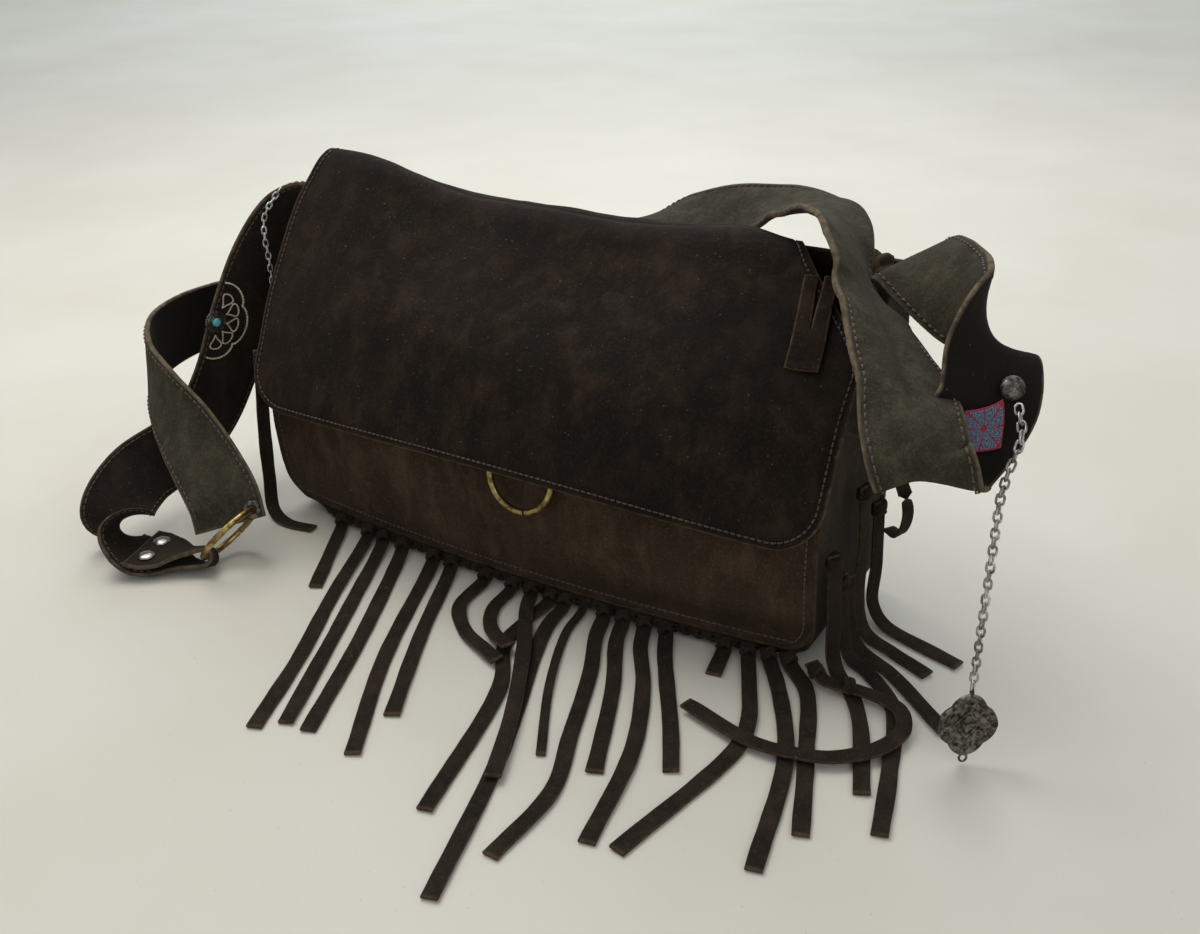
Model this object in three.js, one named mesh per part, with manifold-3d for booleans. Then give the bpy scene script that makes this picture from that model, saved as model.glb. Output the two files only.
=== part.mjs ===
// A slouchy suede shoulder bag with a flap, two straps, a long thong fringe, rings, chains and small metal trim.
// Millimetres, +Z up. The front faces -Y, and the long side runs along X. The base stands on z = 0.
import * as THREE from "three";
import { mergeVertices } from "three/addons/utils/BufferGeometryUtils.js";
import Module from "manifold-3d";

// ---------------------------------------------------------------- driving dimensions
const BAG_WIDTH = 318; // front panel, edge to edge
const PANEL_T = 2.0; // suede of the front and back panels
const GUSSET_T = 2.0;
const SEAM_Z = 9; // bottom seam of the front panel
const PANEL_CORNER_R = 18;
const BACK_TOP_Z = 168;
const GUSSET_TOP_Z = 160;
const GUSSET_CORNER_R = 20;
const SEAM_GAP = 0.4; // left between touching pieces

const BORDER_T = 1.4; // scalloped border under the seam
const BORDER_LOW_Z = 3.2;
const BORDER_HIGH_Z = 15;
const SCALLOP_PITCH = 6.6;
const SCALLOP_DEPTH = 1.5;

const FLAP_T = 1.5; // one layer of the flap
const LINING_GAP = 0.9;
const FLAP_HALF_LEFT = 162;
const FLAP_HALF_RIGHT = 163.5;
const FLAP_CORNER_R = 22;
const FLAP_SIDE_IN = 5; // how far the sides draw in at the hinge
const SHOULDER_CUT = 52; // how far the right shoulder draws in at the hinge
const SHOULDER_LENGTH = 90; // and how far down it reaches
const TAB_BEND_R = 3.0; // ring tab, middle of the fold
const TAB_T = 1.1;
const HINGE_EDGE = [34.5, 171.5]; // y, z of the line where the flap bends over the back
const CREST_RISE = 18; // crest above the hinge at the stiff left end
const SAG = 16; // how far the crest sinks towards the middle and right

const STRAP_WIDTH = 38;
const STRAP_T = 3.0;
const SHORT_STRAP_T = 2.4;
const RING_R = 17.6; // middle of the ring wire
const RING_WIRE_R = 1.65;
const FOLD_R = 4.3; // middle of the short strap's fold round the ring wire
const EYELET_HOLE_R = 2.6;
const EYELET_BARREL_R = 3.1;
const EYELET_FLANGE_R = 4.6;
const EYELET_FLANGE_T = 0.7;

const THONG_W = 7.5;
const THONG_T = 1.4;
const THONG_Z = 1.1; // height of a thong's middle where it lies flat
const LAYER = 2.0; // rise for each thong that one crosses

const CHAIN_R = 2.0; // envelope of the chain links
const PENDANT_T = 2.0;

// ---------------------------------------------------------------- materials
const paint = (color, roughness, metalness) =>
  new THREE.MeshStandardMaterial({ color, roughness, metalness });
const suede = paint("#3a2d25", 0.95, 0);
const suedeDark = paint("#2b221d", 0.95, 0);
const strapLeather = paint("#4a443c", 0.8, 0);
const brass = paint("#a8905a", 0.35, 1);
const silver = paint("#a9a9ac", 0.3, 1);
const pewter = paint("#5f5c58", 0.5, 1);
const turquoise = paint("#46b4be", 0.3, 0);
const weave = paint("#4a5870", 0.9, 0);

// ---------------------------------------------------------------- small helpers
const V = (x, y, z) => new THREE.Vector3(x, y, z);
const UP = V(0, 0, 1);
const lerp = THREE.MathUtils.lerp;
const smooth = THREE.MathUtils.smoothstep;
const bag = new THREE.Group();

function add(name, geometry, material, parent = bag) {
  const mesh = new THREE.Mesh(geometry, material);
  mesh.name = name;
  parent.add(mesh);
  return mesh;
}

// Height-to-depth table read as a smooth curve: rows are [z, y] with z rising.
function profile(rows) {
  const curve = new THREE.CatmullRomCurve3(rows.map(([z, y]) => V(0, y, z)), false, "centripetal");
  const samples = curve.getPoints(160);
  return (z) => {
    let i = 1;
    while (i < samples.length - 1 && samples[i].z < z) i += 1;
    const [a, b] = [samples[i - 1], samples[i]];
    return lerp(a.y, b.y, (z - a.z) / (b.z - a.z || 1));
  };
}

// Closed solid from a list of rings of equal length, capped at both ends. The faces are turned outwards.
function loft(rings, closed = false) {
  const n = rings[0].length;
  const positions = rings.flat().flatMap((p) => [p.x, p.y, p.z]);
  const index = [];
  const last = closed ? rings.length : rings.length - 1;
  for (let i = 0; i < last; i += 1) {
    const next = (i + 1) % rings.length;
    for (let j = 0; j < n; j += 1) {
      const k = (j + 1) % n;
      index.push(i * n + j, i * n + k, next * n + k, i * n + j, next * n + k, next * n + j);
    }
  }
  if (!closed) {
    const end = (rings.length - 1) * n;
    for (let j = 1; j < n - 1; j += 1) {
      index.push(0, j + 1, j);
      index.push(end, end + j, end + j + 1);
    }
  }
  return outward(positions, index);
}

function outward(positions, index) {
  let volume = 0;
  const at = (i) => V(positions[3 * i], positions[3 * i + 1], positions[3 * i + 2]);
  for (let i = 0; i < index.length; i += 3) {
    volume += at(index[i]).dot(at(index[i + 1]).cross(at(index[i + 2])));
  }
  if (volume < 0) index.reverse();
  const geometry = new THREE.BufferGeometry();
  geometry.setAttribute("position", new THREE.Float32BufferAttribute(positions, 3));
  geometry.setIndex(index);
  return geometry;
}

// Curved sheet: surface(u, v) for u and v from 0 to 1, made solid towards its back by thickness.
function sheet(columns, rows, surface, thickness) {
  const step = 1e-3;
  const rings = [];
  for (let i = 0; i <= columns; i += 1) {
    const front = [];
    const back = [];
    for (let j = 0; j <= rows; j += 1) {
      const [u, v] = [i / columns, j / rows];
      const point = surface(u, v);
      const du = surface(Math.min(1, u + step), v).sub(surface(Math.max(0, u - step), v));
      const dv = surface(u, Math.min(1, v + step)).sub(surface(u, Math.max(0, v - step)));
      const normal = du.cross(dv).normalize();
      front.push(point);
      back.unshift(point.clone().addScaledVector(normal, thickness));
    }
    rings.push([...front, ...back]);
  }
  return stripLoft(rings, rows);
}

// Loft whose end rings are long thin strips, so their caps are laid across, not fanned.
function stripLoft(rings, rows) {
  const n = rings[0].length;
  const positions = rings.flat().flatMap((p) => [p.x, p.y, p.z]);
  const index = [];
  for (let i = 0; i < rings.length - 1; i += 1) {
    for (let j = 0; j < n; j += 1) {
      const k = (j + 1) % n;
      const [a, b, c, d] = [i * n + j, i * n + k, (i + 1) * n + k, (i + 1) * n + j];
      index.push(a, b, c, a, c, d);
    }
  }
  const end = (rings.length - 1) * n;
  for (let j = 0; j < rows; j += 1) {
    const [a, b, c, d] = [j, j + 1, n - 2 - j, n - 1 - j];
    index.push(a, c, b, a, d, c);
    index.push(end + a, end + b, end + c, end + a, end + c, end + d);
  }
  return outward(positions, index);
}

// Flat band along a hand-chosen route. A point is [x, y, z], or [x, y, z, wx, wy, wz] where the band's width
// direction is set there; without one the band lies face up. A seventh number is the share of the full width.
function band(points, { width, thickness, steps }) {
  const curve = new THREE.CatmullRomCurve3(points.map(([x, y, z]) => V(x, y, z)), false, "centripetal");
  const sides = points.map((p, i) => {
    if (p.length > 3) return V(p[3], p[4], p[5]).normalize();
    const before = points[Math.max(0, i - 1)];
    const after = points[Math.min(points.length - 1, i + 1)];
    const along = V(after[0] - before[0], after[1] - before[1], after[2] - before[2]);
    return along.cross(UP).normalize();
  });
  const rings = [];
  for (let i = 0; i <= steps; i += 1) {
    const t = i / steps;
    const at = t * (points.length - 1);
    const k = Math.min(points.length - 2, Math.floor(at));
    const along = curve.getTangent(t);
    const side = sides[k].clone().lerp(sides[k + 1], smooth(at - k, 0, 1));
    side.addScaledVector(along, -side.dot(along)).normalize();
    const face = side.clone().cross(along).normalize();
    const middle = curve.getPoint(t);
    const share = lerp(points[k][6] ?? 1, points[k + 1][6] ?? 1, at - k);
    const corner = (s, f) =>
      middle.clone().addScaledVector(side, (s * share * width) / 2).addScaledVector(face, (f * thickness) / 2);
    rings.push([corner(-1, -1), corner(1, -1), corner(1, 1), corner(-1, 1)]);
  }
  return loft(rings);
}

// Ring of round wire in the XZ plane, with its middle at the origin and a split on the open side.
function wireRing(radius, wire, split, steps = 26, sides = 6) {
  const gap = split / radius;
  const rings = [];
  for (let i = 0; i <= steps; i += 1) {
    const a = -Math.PI / 2 + gap / 2 + ((Math.PI * 2 - gap) * i) / steps;
    const ring = [];
    for (let j = 0; j < sides; j += 1) {
      const b = (Math.PI * 2 * j) / sides;
      const r = radius + wire * Math.cos(b);
      ring.push(V(r * Math.cos(a), wire * Math.sin(b), r * Math.sin(a)));
    }
    rings.push(ring);
  }
  return loft(rings);
}

// Turned piece: [radius, height] pairs around the local Z axis.
function turned(rows, segments = 14) {
  const lathe = new THREE.LatheGeometry(rows.map(([r, h]) => new THREE.Vector2(r, h)), segments);
  lathe.rotateX(Math.PI / 2);
  return lathe;
}

// Turns local +Z to a direction.
function face(mesh, position, direction) {
  mesh.position.set(...position);
  mesh.quaternion.setFromUnitVectors(UP, V(...direction).normalize());
  return mesh;
}

// ---------------------------------------------------------------- boolean cut
const wasm = await Module();
wasm.setup();

function solid(geometry, matrix = new THREE.Matrix4()) {
  let bare = geometry.clone().applyMatrix4(matrix);
  bare.deleteAttribute("normal");
  bare.deleteAttribute("uv");
  bare = mergeVertices(bare, 1e-4);
  return new wasm.Manifold(new wasm.Mesh({
    numProp: 3,
    vertProperties: new Float32Array(bare.attributes.position.array),
    triVerts: new Uint32Array(bare.index.array),
  }));
}

function cut(geometry, tool, matrix) {
  const mesh = solid(geometry).subtract(solid(tool, matrix)).getMesh();
  const result = new THREE.BufferGeometry();
  result.setAttribute("position", new THREE.Float32BufferAttribute(mesh.vertProperties, 3));
  result.setIndex(new THREE.Uint32BufferAttribute(mesh.triVerts, 1));
  return result;
}

// ---------------------------------------------------------------- pouch
const half = BAG_WIDTH / 2;
const bellyDepth = 11; // how far the middle of the front stands out below
const frontDepth = profile([[2, -39], [9, -41], [30, -45], [60, -47], [80, -46], [100, -39.5], [125, -25],
  [150, -9], [164, 1]]);
const backDepth = profile([[2, 39], [50, 42], [110, 43], [150, 40], [184, 34]]);
const belly = (x, z) => bellyDepth * (1 - (x / half) ** 2) * (1 - smooth(z, 70, 150));
const frontY = (x, z) => frontDepth(z) - belly(x, z);
// The soft top edge sinks from the left end towards the middle, and lifts again a little before the right end.
const sag = (x) => SAG * smooth(x, -150, -55) - 4 * Math.exp(-(((x - 88) / 35) ** 2));

const PANEL_TOP_Z = 164;
const panelSink = (x, z) => 0.85 * sag(x) * smooth(z, 105, PANEL_TOP_Z + 6);

// Depth of the sunken front panel at a real height.
function sunkenY(x, height) {
  let z = height;
  for (let i = 0; i < 6; i += 1) z = height + panelSink(x, z);
  return frontY(x, Math.min(z, PANEL_TOP_Z));
}

// Half width of a panel with rounded lower corners.
function halfWidth(z, low, width, radius) {
  const up = Math.min(radius, z - low);
  return width - radius + Math.sqrt(Math.max(0, radius ** 2 - (radius - up) ** 2));
}

function frontPanel() {
  return sheet(18, 13, (u, v) => {
    const z = lerp(SEAM_Z, PANEL_TOP_Z, v ** 1.25);
    const w = halfWidth(z, SEAM_Z - 1.2, half, PANEL_CORNER_R);
    const x = lerp(-w, w, u);
    return V(x, frontY(x, z), z - panelSink(x, z));
  }, -PANEL_T);
}

function backPanel() {
  return sheet(10, 8, (u, v) => {
    const z = lerp(SEAM_Z, BACK_TOP_Z, v ** 1.25);
    const w = halfWidth(z, SEAM_Z - 1.2, half, PANEL_CORNER_R);
    const x = lerp(w, -w, u);
    return V(x, backDepth(z), z);
  }, -PANEL_T);
}

// Path of the gusset down the left side, across the base and up the right side: x and z of its outer face.
function gussetPath(steps) {
  const [w, r] = [half - 1, GUSSET_CORNER_R];
  const path = new THREE.CurvePath();
  const corner = (sx) => V(sx * w, 0, 0);
  path.add(new THREE.LineCurve3(V(-w, 0, GUSSET_TOP_Z), V(-w, 0, r)));
  path.add(new THREE.QuadraticBezierCurve3(V(-w, 0, r), corner(-1), V(-w + r, 0, 0)));
  path.add(new THREE.LineCurve3(V(-w + r, 0, 0), V(w - r, 0, 0)));
  path.add(new THREE.QuadraticBezierCurve3(V(w - r, 0, 0), corner(1), V(w, 0, r)));
  path.add(new THREE.LineCurve3(V(w, 0, r), V(w, 0, GUSSET_TOP_Z)));
  return steps.map((t) => path.getPointAt(t));
}

function gusset() {
  const count = 44;
  const points = gussetPath(Array.from({ length: count + 1 }, (_, i) => i / count));
  const layers = PANEL_T + BORDER_T + 2 * SEAM_GAP;
  const rings = points.map((p, i) => {
    const a = points[Math.max(0, i - 1)];
    const b = points[Math.min(count, i + 1)];
    const along = b.clone().sub(a).normalize();
    const inward = V(-along.z, 0, along.x);
    const z = Math.max(p.z, 2);
    const front = sunkenY(p.x, z) + layers + 0.4;
    const back = backDepth(z) - PANEL_T - SEAM_GAP;
    const fold = 0.16 * (back - front) * smooth(z, 40, 160); // the sides fold in a little at the top
    const mid = (front + back) / 2;
    const section = [[front, 0], [mid, fold], [back, 0]].map(([y, pull]) =>
      V(p.x, y, p.z).addScaledVector(inward, pull));
    const inner = [...section].reverse().map((q) => q.clone().addScaledVector(inward, GUSSET_T));
    return [...section, ...inner];
  });
  return stripLoft(rings, 2);
}

// Border band between the front panel and the gusset. Its lower edge is cut in scallops.
function border() {
  const count = Math.round((BAG_WIDTH - 24) / SCALLOP_PITCH);
  const inset = PANEL_T + SEAM_GAP;
  return sheet(count * 2, 1, (u, v) => {
    const x = lerp(-half + 12, half - 12, u);
    const rise = 9 * smooth(Math.abs(x), half - 26, half - 12);
    const scallop = SCALLOP_DEPTH * Math.abs(Math.sin(Math.PI * count * u));
    const z = lerp(BORDER_LOW_Z + SCALLOP_DEPTH - scallop, BORDER_HIGH_Z, v) + rise;
    return V(x, frontY(x, Math.max(z, 4)) + inset, z);
  }, -BORDER_T);
}

add("front_panel", frontPanel(), suede);
add("back_panel", backPanel(), suede);
add("gusset", gusset(), suedeDark);
add("front_border", border(), suedeDark);

// ---------------------------------------------------------------- flap
// Side view of the flap's outer face, from the hinge over the crest and down the front: [y, z].
const flapLine = new THREE.CatmullRomCurve3([HINGE_EDGE, [33.4, 179], [30, 186], [22, 189.5], [14, 186.5], [5, 178],
  [-5, 167.5], [-18, 150], [-34, 125], [-46, 101], [-54, 84], [-57, 72], [-57.5, 62]].map(([y, z]) => V(0, y, z)),
false, "centripetal");
const flapLength = flapLine.getLength();
const CREST_S = 0.115; // share of the length at the crest
const flapBelly = (x, s) => 14 * (1 - (x / 165) ** 2) * smooth(s, 0.25, 0.66);

// Point of the flap's outer face at x, at the share s of its length from the hinge.
function flapFace(x, s) {
  const at = THREE.MathUtils.clamp(s, 0, 1);
  const p = flapLine.getPointAt(at);
  const sink = s < CREST_S
    ? ((p.z - HINGE_EDGE[1]) * sag(x)) / CREST_RISE
    : sag(x) * smooth(p.z, 110, HINGE_EDGE[1] + CREST_RISE);
  return V(x, p.y - flapBelly(x, s), p.z - sink);
}

// The same point lifted off the face, away from the bag.
function flapPoint(x, s, lift) {
  const step = 0.004;
  const along = flapFace(x, Math.min(1, s + step)).sub(flapFace(x, Math.max(0, s - step)));
  return flapFace(x, s).addScaledVector(V(0, along.z, -along.y).normalize(), lift);
}

function flapSurface(u, v, inset, trim) {
  // The lower edge rises a little in the middle, both lower corners are round, and the right shoulder is rounded off
  // where the long strap lies.
  const side = 2 * u - 1;
  const s = v * (0.955 - 0.035 * Math.cos((side * Math.PI) / 2) - 0.006 * trim);
  const low = (1 - v) * flapLength;
  const corner = FLAP_CORNER_R - Math.sqrt(Math.max(0, FLAP_CORNER_R ** 2 - (FLAP_CORNER_R - low) ** 2));
  const pull = low < FLAP_CORNER_R ? corner : 0;
  const high = s * flapLength;
  const draw = FLAP_SIDE_IN * (1 - smooth(high, 0, 70));
  const shoulder = SHOULDER_CUT * (1 - smooth(high, 4, SHOULDER_LENGTH));
  const left = -FLAP_HALF_LEFT + pull + draw + trim;
  const right = FLAP_HALF_RIGHT - pull - shoulder - trim;
  return flapPoint(lerp(left, right, u), s, -inset);
}

const flap = new THREE.Group();
bag.add(flap);
add("flap", sheet(16, 18, (u, v) => flapSurface(u, v, 0, 0), FLAP_T), suede, flap);
add("flap_lining", sheet(14, 18, (u, v) => flapSurface(u, v, FLAP_T + LINING_GAP, 1.2), FLAP_T), suedeDark, flap);

// Ring under the lower edge, hanging in a folded tab. Ring and tab lie along the slope of the panel.
const FLAP_RING = [15, -60.3, 71.5];
const RING_LEAN = 10; // degrees
const ring = add("flap_ring", wireRing(RING_R, RING_WIRE_R, 0.8), brass, flap);
ring.position.set(...FLAP_RING);
ring.rotation.set(THREE.MathUtils.degToRad(-RING_LEAN), THREE.MathUtils.degToRad(-12), 0);

function ringTab() {
  const lean = THREE.MathUtils.degToRad(RING_LEAN);
  const top = V(...FLAP_RING).add(V(0, Math.sin(lean), Math.cos(lean)).multiplyScalar(RING_R));
  const slope = V(0, 0.456, 0.89); // up along the flap
  const out = V(0, -0.89, 0.456);
  const at = (up, off) => {
    const p = top.clone().addScaledVector(slope, up).addScaledVector(out, off);
    return [p.x, p.y, p.z, 1, 0, 0];
  };
  const r = TAB_BEND_R;
  const turn = [0, 1, 2, 3, 4].map((i) => (Math.PI * i) / 4);
  const bend = turn.map((a) => at(-r * Math.sin(a), r * Math.cos(a)));
  return band([at(13, r - 0.6), at(5, r - 0.2), ...bend, at(5, -r + 0.3), at(9, -r + 1)],
    { width: 8, thickness: TAB_T, steps: 24 });
}
add("flap_ring_tab", ringTab(), suedeDark, flap);

// Slit thong end that lies on the flap near its right edge.
function onFlap(x, s, lift) {
  const p = flapPoint(x, s, lift);
  return [p.x, p.y, p.z, 1, 0, 0];
}
add("flap_tab", band([[132.5, 0.22], [134, 0.28], [136, 0.35], [138, 0.43], [139, 0.5]].map(([x, s]) =>
  onFlap(x, s, THONG_T / 2 + 0.8)), { width: 15, thickness: THONG_T, steps: 14 }), suede, flap);

// ---------------------------------------------------------------- straps
// The strap ring leans between the two straps: acrossRing points along the wire where the straps hold it.
const STRAP_RING = [-141, -106, 18.8];
const ringUp = V(0.439, 0.657, 0.609); // towards the long strap's eyelet
const acrossRing = V(0.468, -0.749, 0.469);
const strapRing = add("strap_ring", wireRing(RING_R, RING_WIRE_R, 0.8), brass);
strapRing.position.set(...STRAP_RING);
strapRing.quaternion.setFromRotationMatrix(new THREE.Matrix4().makeBasis(
  ringUp.clone().normalize(), acrossRing.clone().cross(ringUp).normalize(), acrossRing.clone().normalize()));

// The short strap's end turns over the ring's wire here, with the wire along its width.
const foldAt = V(...STRAP_RING).addScaledVector(ringUp.clone().normalize(), -RING_R);
const foldOut = V(0.848, 0.53, 0); // away from the strap
const foldUp = V(-0.249, 0.398, 0.883);
const foldTurn = [0, 1, 2, 3, 4].map((i) => {
  const a = (Math.PI * i) / 4;
  const p = foldAt.clone().addScaledVector(foldOut, FOLD_R * Math.sin(a));
  p.addScaledVector(foldUp, -FOLD_R * Math.cos(a));
  return [p.x, p.y, p.z, ...acrossRing.toArray(), 0.3];
});

// Short strap: sewn to the gusset at the left top, it runs down to the surface, turns in a loop and is folded round
// the strap ring. The last number of a point is the share of the full width there.
const shortRoute = [
  [-160.8, 25, 138, 0, 1, 0, 1],
  [-161, 25, 152, 0, 1, 0, 1],
  [-165, 25, 163, 0, 1, -0.05, 1],
  [-172, 19, 167, -0.1, 1, -0.15, 1],
  [-182, 9, 158, 0.1, 1, -0.2, 1],
  [-192, -6, 134, 0.25, 1, -0.25, 1],
  [-198, -23, 103, 0.3, 1, -0.3, 1],
  [-203, -38, 70, 0.3, 1, -0.35, 1],
  [-209, -54, 46, 0.3, 1, -0.4, 1],
  [-214, -76, 35, 0.35, 0.6, -0.7, 1],
  [-214, -100, 31, 0.6, 0.1, -0.8, 1],
  [-208, -121, 23, 0.75, -0.25, -0.6, 1],
  [-199, -130, 14, 0.7, -0.6, -0.2, 1],
  [-190, -130.5, 7.4, 0.6, -0.8, 0, 1],
  [-181, -128.4, 3.9, 0.52, -0.85, 0, 0.95],
  [-170, -125, 3.2, 0.5, -0.86, 0, 0.75],
  [-158, -122.5, 3.9, 0.48, -0.83, 0.25, 0.4],
  ...foldTurn,
  [-158, -121, 10.4, 0.48, -0.83, 0.25, 0.4],
  [-168, -124, 8.6, 0.5, -0.86, 0, 0.7],
  [-177, -126.8, 8.3, 0.52, -0.85, 0, 0.9],
  [-184.5, -129.2, 9, 0.52, -0.85, 0, 0.95],
];
const shortStrap = band(shortRoute, { width: STRAP_WIDTH, thickness: SHORT_STRAP_T, steps: 72 });
add("short_strap", shortStrap, suedeDark);

// Long strap: from the eyelet on the strap ring it rises in a standing loop, passes behind the bag, comes over the
// right shoulder of the flap, hangs in a loop and is sewn to the gusset at the right top.
const longRoute = [
  [-141.3, -104, 22.4, 0.763, 0.61, 0.212, 1],
  [-147.5, -100.4, 34.4, 0.763, 0.61, 0.212, 1],
  [-161, -96, 47, 0.8, 0.55, 0.3, 1],
  [-180, -90, 60, 0.7, 0.45, 0.6, 1],
  [-203, -82, 71, 0.45, 0.2, 0.85, 1],
  [-226, -69, 80, 0.2, 0, 1, 1],
  [-239, -50, 86, 0, 0, 1, 1],
  [-241, -30, 89, 0, 0, 1, 1],
  [-237, -9, 90, 0, 0, 1, 1],
  [-226, 12, 91, 0, 0, 1, 1],
  [-205, 34, 94, 0, 0, 1, 1],
  [-180, 48, 98, 0, 0, 1, 1],
  [-148, 54, 104, 0, -0.05, 1, 1],
  [-100, 53, 122, 0, -0.05, 1, 1],
  [-50, 56, 144, 0, -0.4, 0.9, 1],
  [0, 60, 158, 0, -0.9, 0.4, 1],
  [34, 62, 167, 0, -0.9, -0.3, 1],
  [60, 61, 173.5, 0.05, -0.86, -0.42, 1],
  [86, 57, 179, 0.05, -0.9, -0.3, 1],
  [108, 46, 184.5, 0.1, -0.97, 0.08, 1],
  [125, 30, 188, 0.1, -0.97, 0.15, 1],
  [137.5, 12.5, 187, 0.12, -0.96, 0.2, 1],
  [147.5, -3, 182, 0.12, -0.96, 0.25, 1],
  [158, -15, 173.5, 0.1, -0.96, 0.25, 1],
  [170, -29, 169, 0, -0.97, 0.22, 1],
  [183, -46, 163.5, -0.2, -0.96, 0.12, 1],
  [196, -64, 157.5, -0.42, -0.88, 0, 1],
  [206.5, -83, 149, -0.72, -0.62, -0.25, 1],
  [212, -88, 140, -0.8, -0.55, -0.2, 1],
  [214.5, -79, 133.5, -0.99, 0.05, 0, 1],
  [216, -69, 137, -0.88, -0.37, 0.29, 1],
  [221, -60, 145, -0.88, -0.4, 0.25, 1],
  [224, -54, 154, -0.87, -0.44, 0.2, 1],
  [222.5, -47, 164, -0.86, -0.34, 0.34, 1],
  [218, -38, 173, -0.66, 0.02, 0.74, 1],
  [211, -26, 176.5, 0, 0, 1, 1],
  [199, -13, 177.5, 0.5, 0.15, 0.82, 1],
  [184.5, 0.5, 180, 0.65, 0.35, 0.62, 1],
  [172, 12, 180, 0.68, 0.6, 0.4, 1],
  [165, 19.5, 173, 0.4, 0.9, 0.15, 1],
  [162.4, 23, 165, 0, 1, 0, 1],
  [161, 24, 153, 0, 1, 0, 1],
  [160.9, 24, 140, 0, 1, 0, 1],
];
const eyeletAt = V(...STRAP_RING).addScaledVector(ringUp.clone().normalize(), RING_R);
const eyeletTurn = new THREE.Quaternion().setFromUnitVectors(UP, acrossRing.clone().normalize());
const eyeletPlace = new THREE.Matrix4().compose(eyeletAt, eyeletTurn, V(1, 1, 1));
const punch = new THREE.CylinderGeometry(EYELET_BARREL_R + 0.4, EYELET_BARREL_R + 0.4, 9, 14).rotateX(Math.PI / 2);
const longBand = band(longRoute, { width: STRAP_WIDTH, thickness: STRAP_T, steps: 100 });
add("long_strap", cut(longBand, punch, eyeletPlace), strapLeather);

// Metal eyelet: a barrel with a flange on each face of the strap, round the ring's wire.
function eyelet() {
  const face0 = STRAP_T / 2 + SEAM_GAP;
  const top = face0 + EYELET_FLANGE_T;
  const [hole, barrel, flange] = [EYELET_HOLE_R, EYELET_BARREL_R, EYELET_FLANGE_R];
  return turned([[hole, -top], [flange, -top], [flange, -face0], [barrel, -face0], [barrel, face0], [flange, face0],
    [flange, top], [hole, top], [hole, -top]]);
}
add("strap_eyelet", eyelet(), pewter).applyMatrix4(eyeletPlace);

// ---------------------------------------------------------------- metal trim on the straps
// A place on a band: index counts the route's points, across runs along the width, lift is off the face.
function onBand(route, index, across, lift) {
  const curve = new THREE.CatmullRomCurve3(route.map(([x, y, z]) => V(x, y, z)), false, "centripetal");
  const t = index / (route.length - 1);
  const k = Math.min(route.length - 2, Math.floor(index));
  const along = curve.getTangent(t);
  const [a, b] = [route[k], route[k + 1]].map((p) => V(p[3], p[4], p[5]).normalize());
  const side = a.lerp(b, smooth(index - k, 0, 1));
  side.addScaledVector(along, -side.dot(along)).normalize();
  const normal = side.clone().cross(along).normalize();
  const point = curve.getPoint(t).addScaledVector(side, across).addScaledVector(normal, lift);
  return { point, normal, side, along };
}

function place(mesh, spot, flip = 1) {
  return face(mesh, spot.point.toArray(), spot.normal.multiplyScalar(flip).toArray());
}

// Two rivets with low domes hold the fold.
const rivet = () => turned([[0, 0], [4.2, 0], [4.2, 0.4], [3.4, 1], [1.8, 1.35], [0, 1.4]]);
const FOLD_INDEX = shortRoute.length - 2;
const rivetLift = SHORT_STRAP_T / 2 + SEAM_GAP;
[["rivet_front", 7.5], ["rivet_back", -7.5]].forEach(([name, across]) => {
  const spot = onBand(shortRoute, FOLD_INDEX, across, 0);
  const up = Math.sign(spot.normal.z);
  spot.point.addScaledVector(spot.normal, up * rivetLift);
  place(add(name, rivet(), silver), spot, up);
});

// Concho: a round antique disc with a raised rim, and a turquoise cabochon in its cup.
const conchoSpot = onBand(shortRoute, 6.2, -15.5, 0);
const conchoSide = Math.sign(conchoSpot.normal.x);
conchoSpot.point.addScaledVector(conchoSpot.normal, conchoSide * (SHORT_STRAP_T / 2 + 0.6));
const concho = turned([[0, 0], [5.6, 0], [6.1, 0.7], [5.4, 1.5], [4.6, 1], [3.4, 1.1], [3.2, 1.9], [2.8, 1.9],
  [2.7, 1.1], [0, 1.1]], 18);
const conchoMesh = place(add("concho", concho, pewter), conchoSpot, conchoSide);
const stone = turned([[0, 1.45], [2.3, 1.45], [2.3, 2], [1.7, 2.7], [0.8, 3], [0, 3.05]], 14);
const stoneMesh = add("turquoise_cabochon", stone, turquoise);
stoneMesh.position.copy(conchoMesh.position);
stoneMesh.quaternion.copy(conchoMesh.quaternion);

// Woven patch and domed stud on the inner face of the long strap's hanging loop.
const LOOP_INDEX = longRoute.length - 11.3; // where the chain is hung
const ROUTE_STEP = 9.5; // length of the route between two of its points there
const inner = -Math.sign(onBand(longRoute, LOOP_INDEX, 0, 0).normal.y); // the face that looks to the front
const PATCH_SIZE = 13.5;
const PATCH_TURN = THREE.MathUtils.degToRad(35);
add("woven_patch", sheet(4, 4, (u, v) => {
  const [a, b] = [(u - 0.5) * PATCH_SIZE, (v - 0.5) * PATCH_SIZE];
  const along = a * Math.cos(PATCH_TURN) - b * Math.sin(PATCH_TURN);
  const across = a * Math.sin(PATCH_TURN) + b * Math.cos(PATCH_TURN);
  const spot = onBand(longRoute, LOOP_INDEX - 0.5 + along / ROUTE_STEP, across - 2.5, 0);
  return spot.point.addScaledVector(spot.normal, inner * (STRAP_T / 2 + 1.2));
}, -inner * 0.8), weave);

const studSpot = onBand(longRoute, LOOP_INDEX + 0.8, -6.5, 0);
studSpot.point.addScaledVector(studSpot.normal, inner * (STRAP_T / 2 + SEAM_GAP));
const stud = turned([[0, 0], [1.6, 0], [1.6, 1.4], [4.4, 1.6], [4.2, 2.9], [3, 4], [1.4, 4.6], [0, 4.7]], 14);
place(add("chain_stud", stud, pewter), studSpot, inner);

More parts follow.
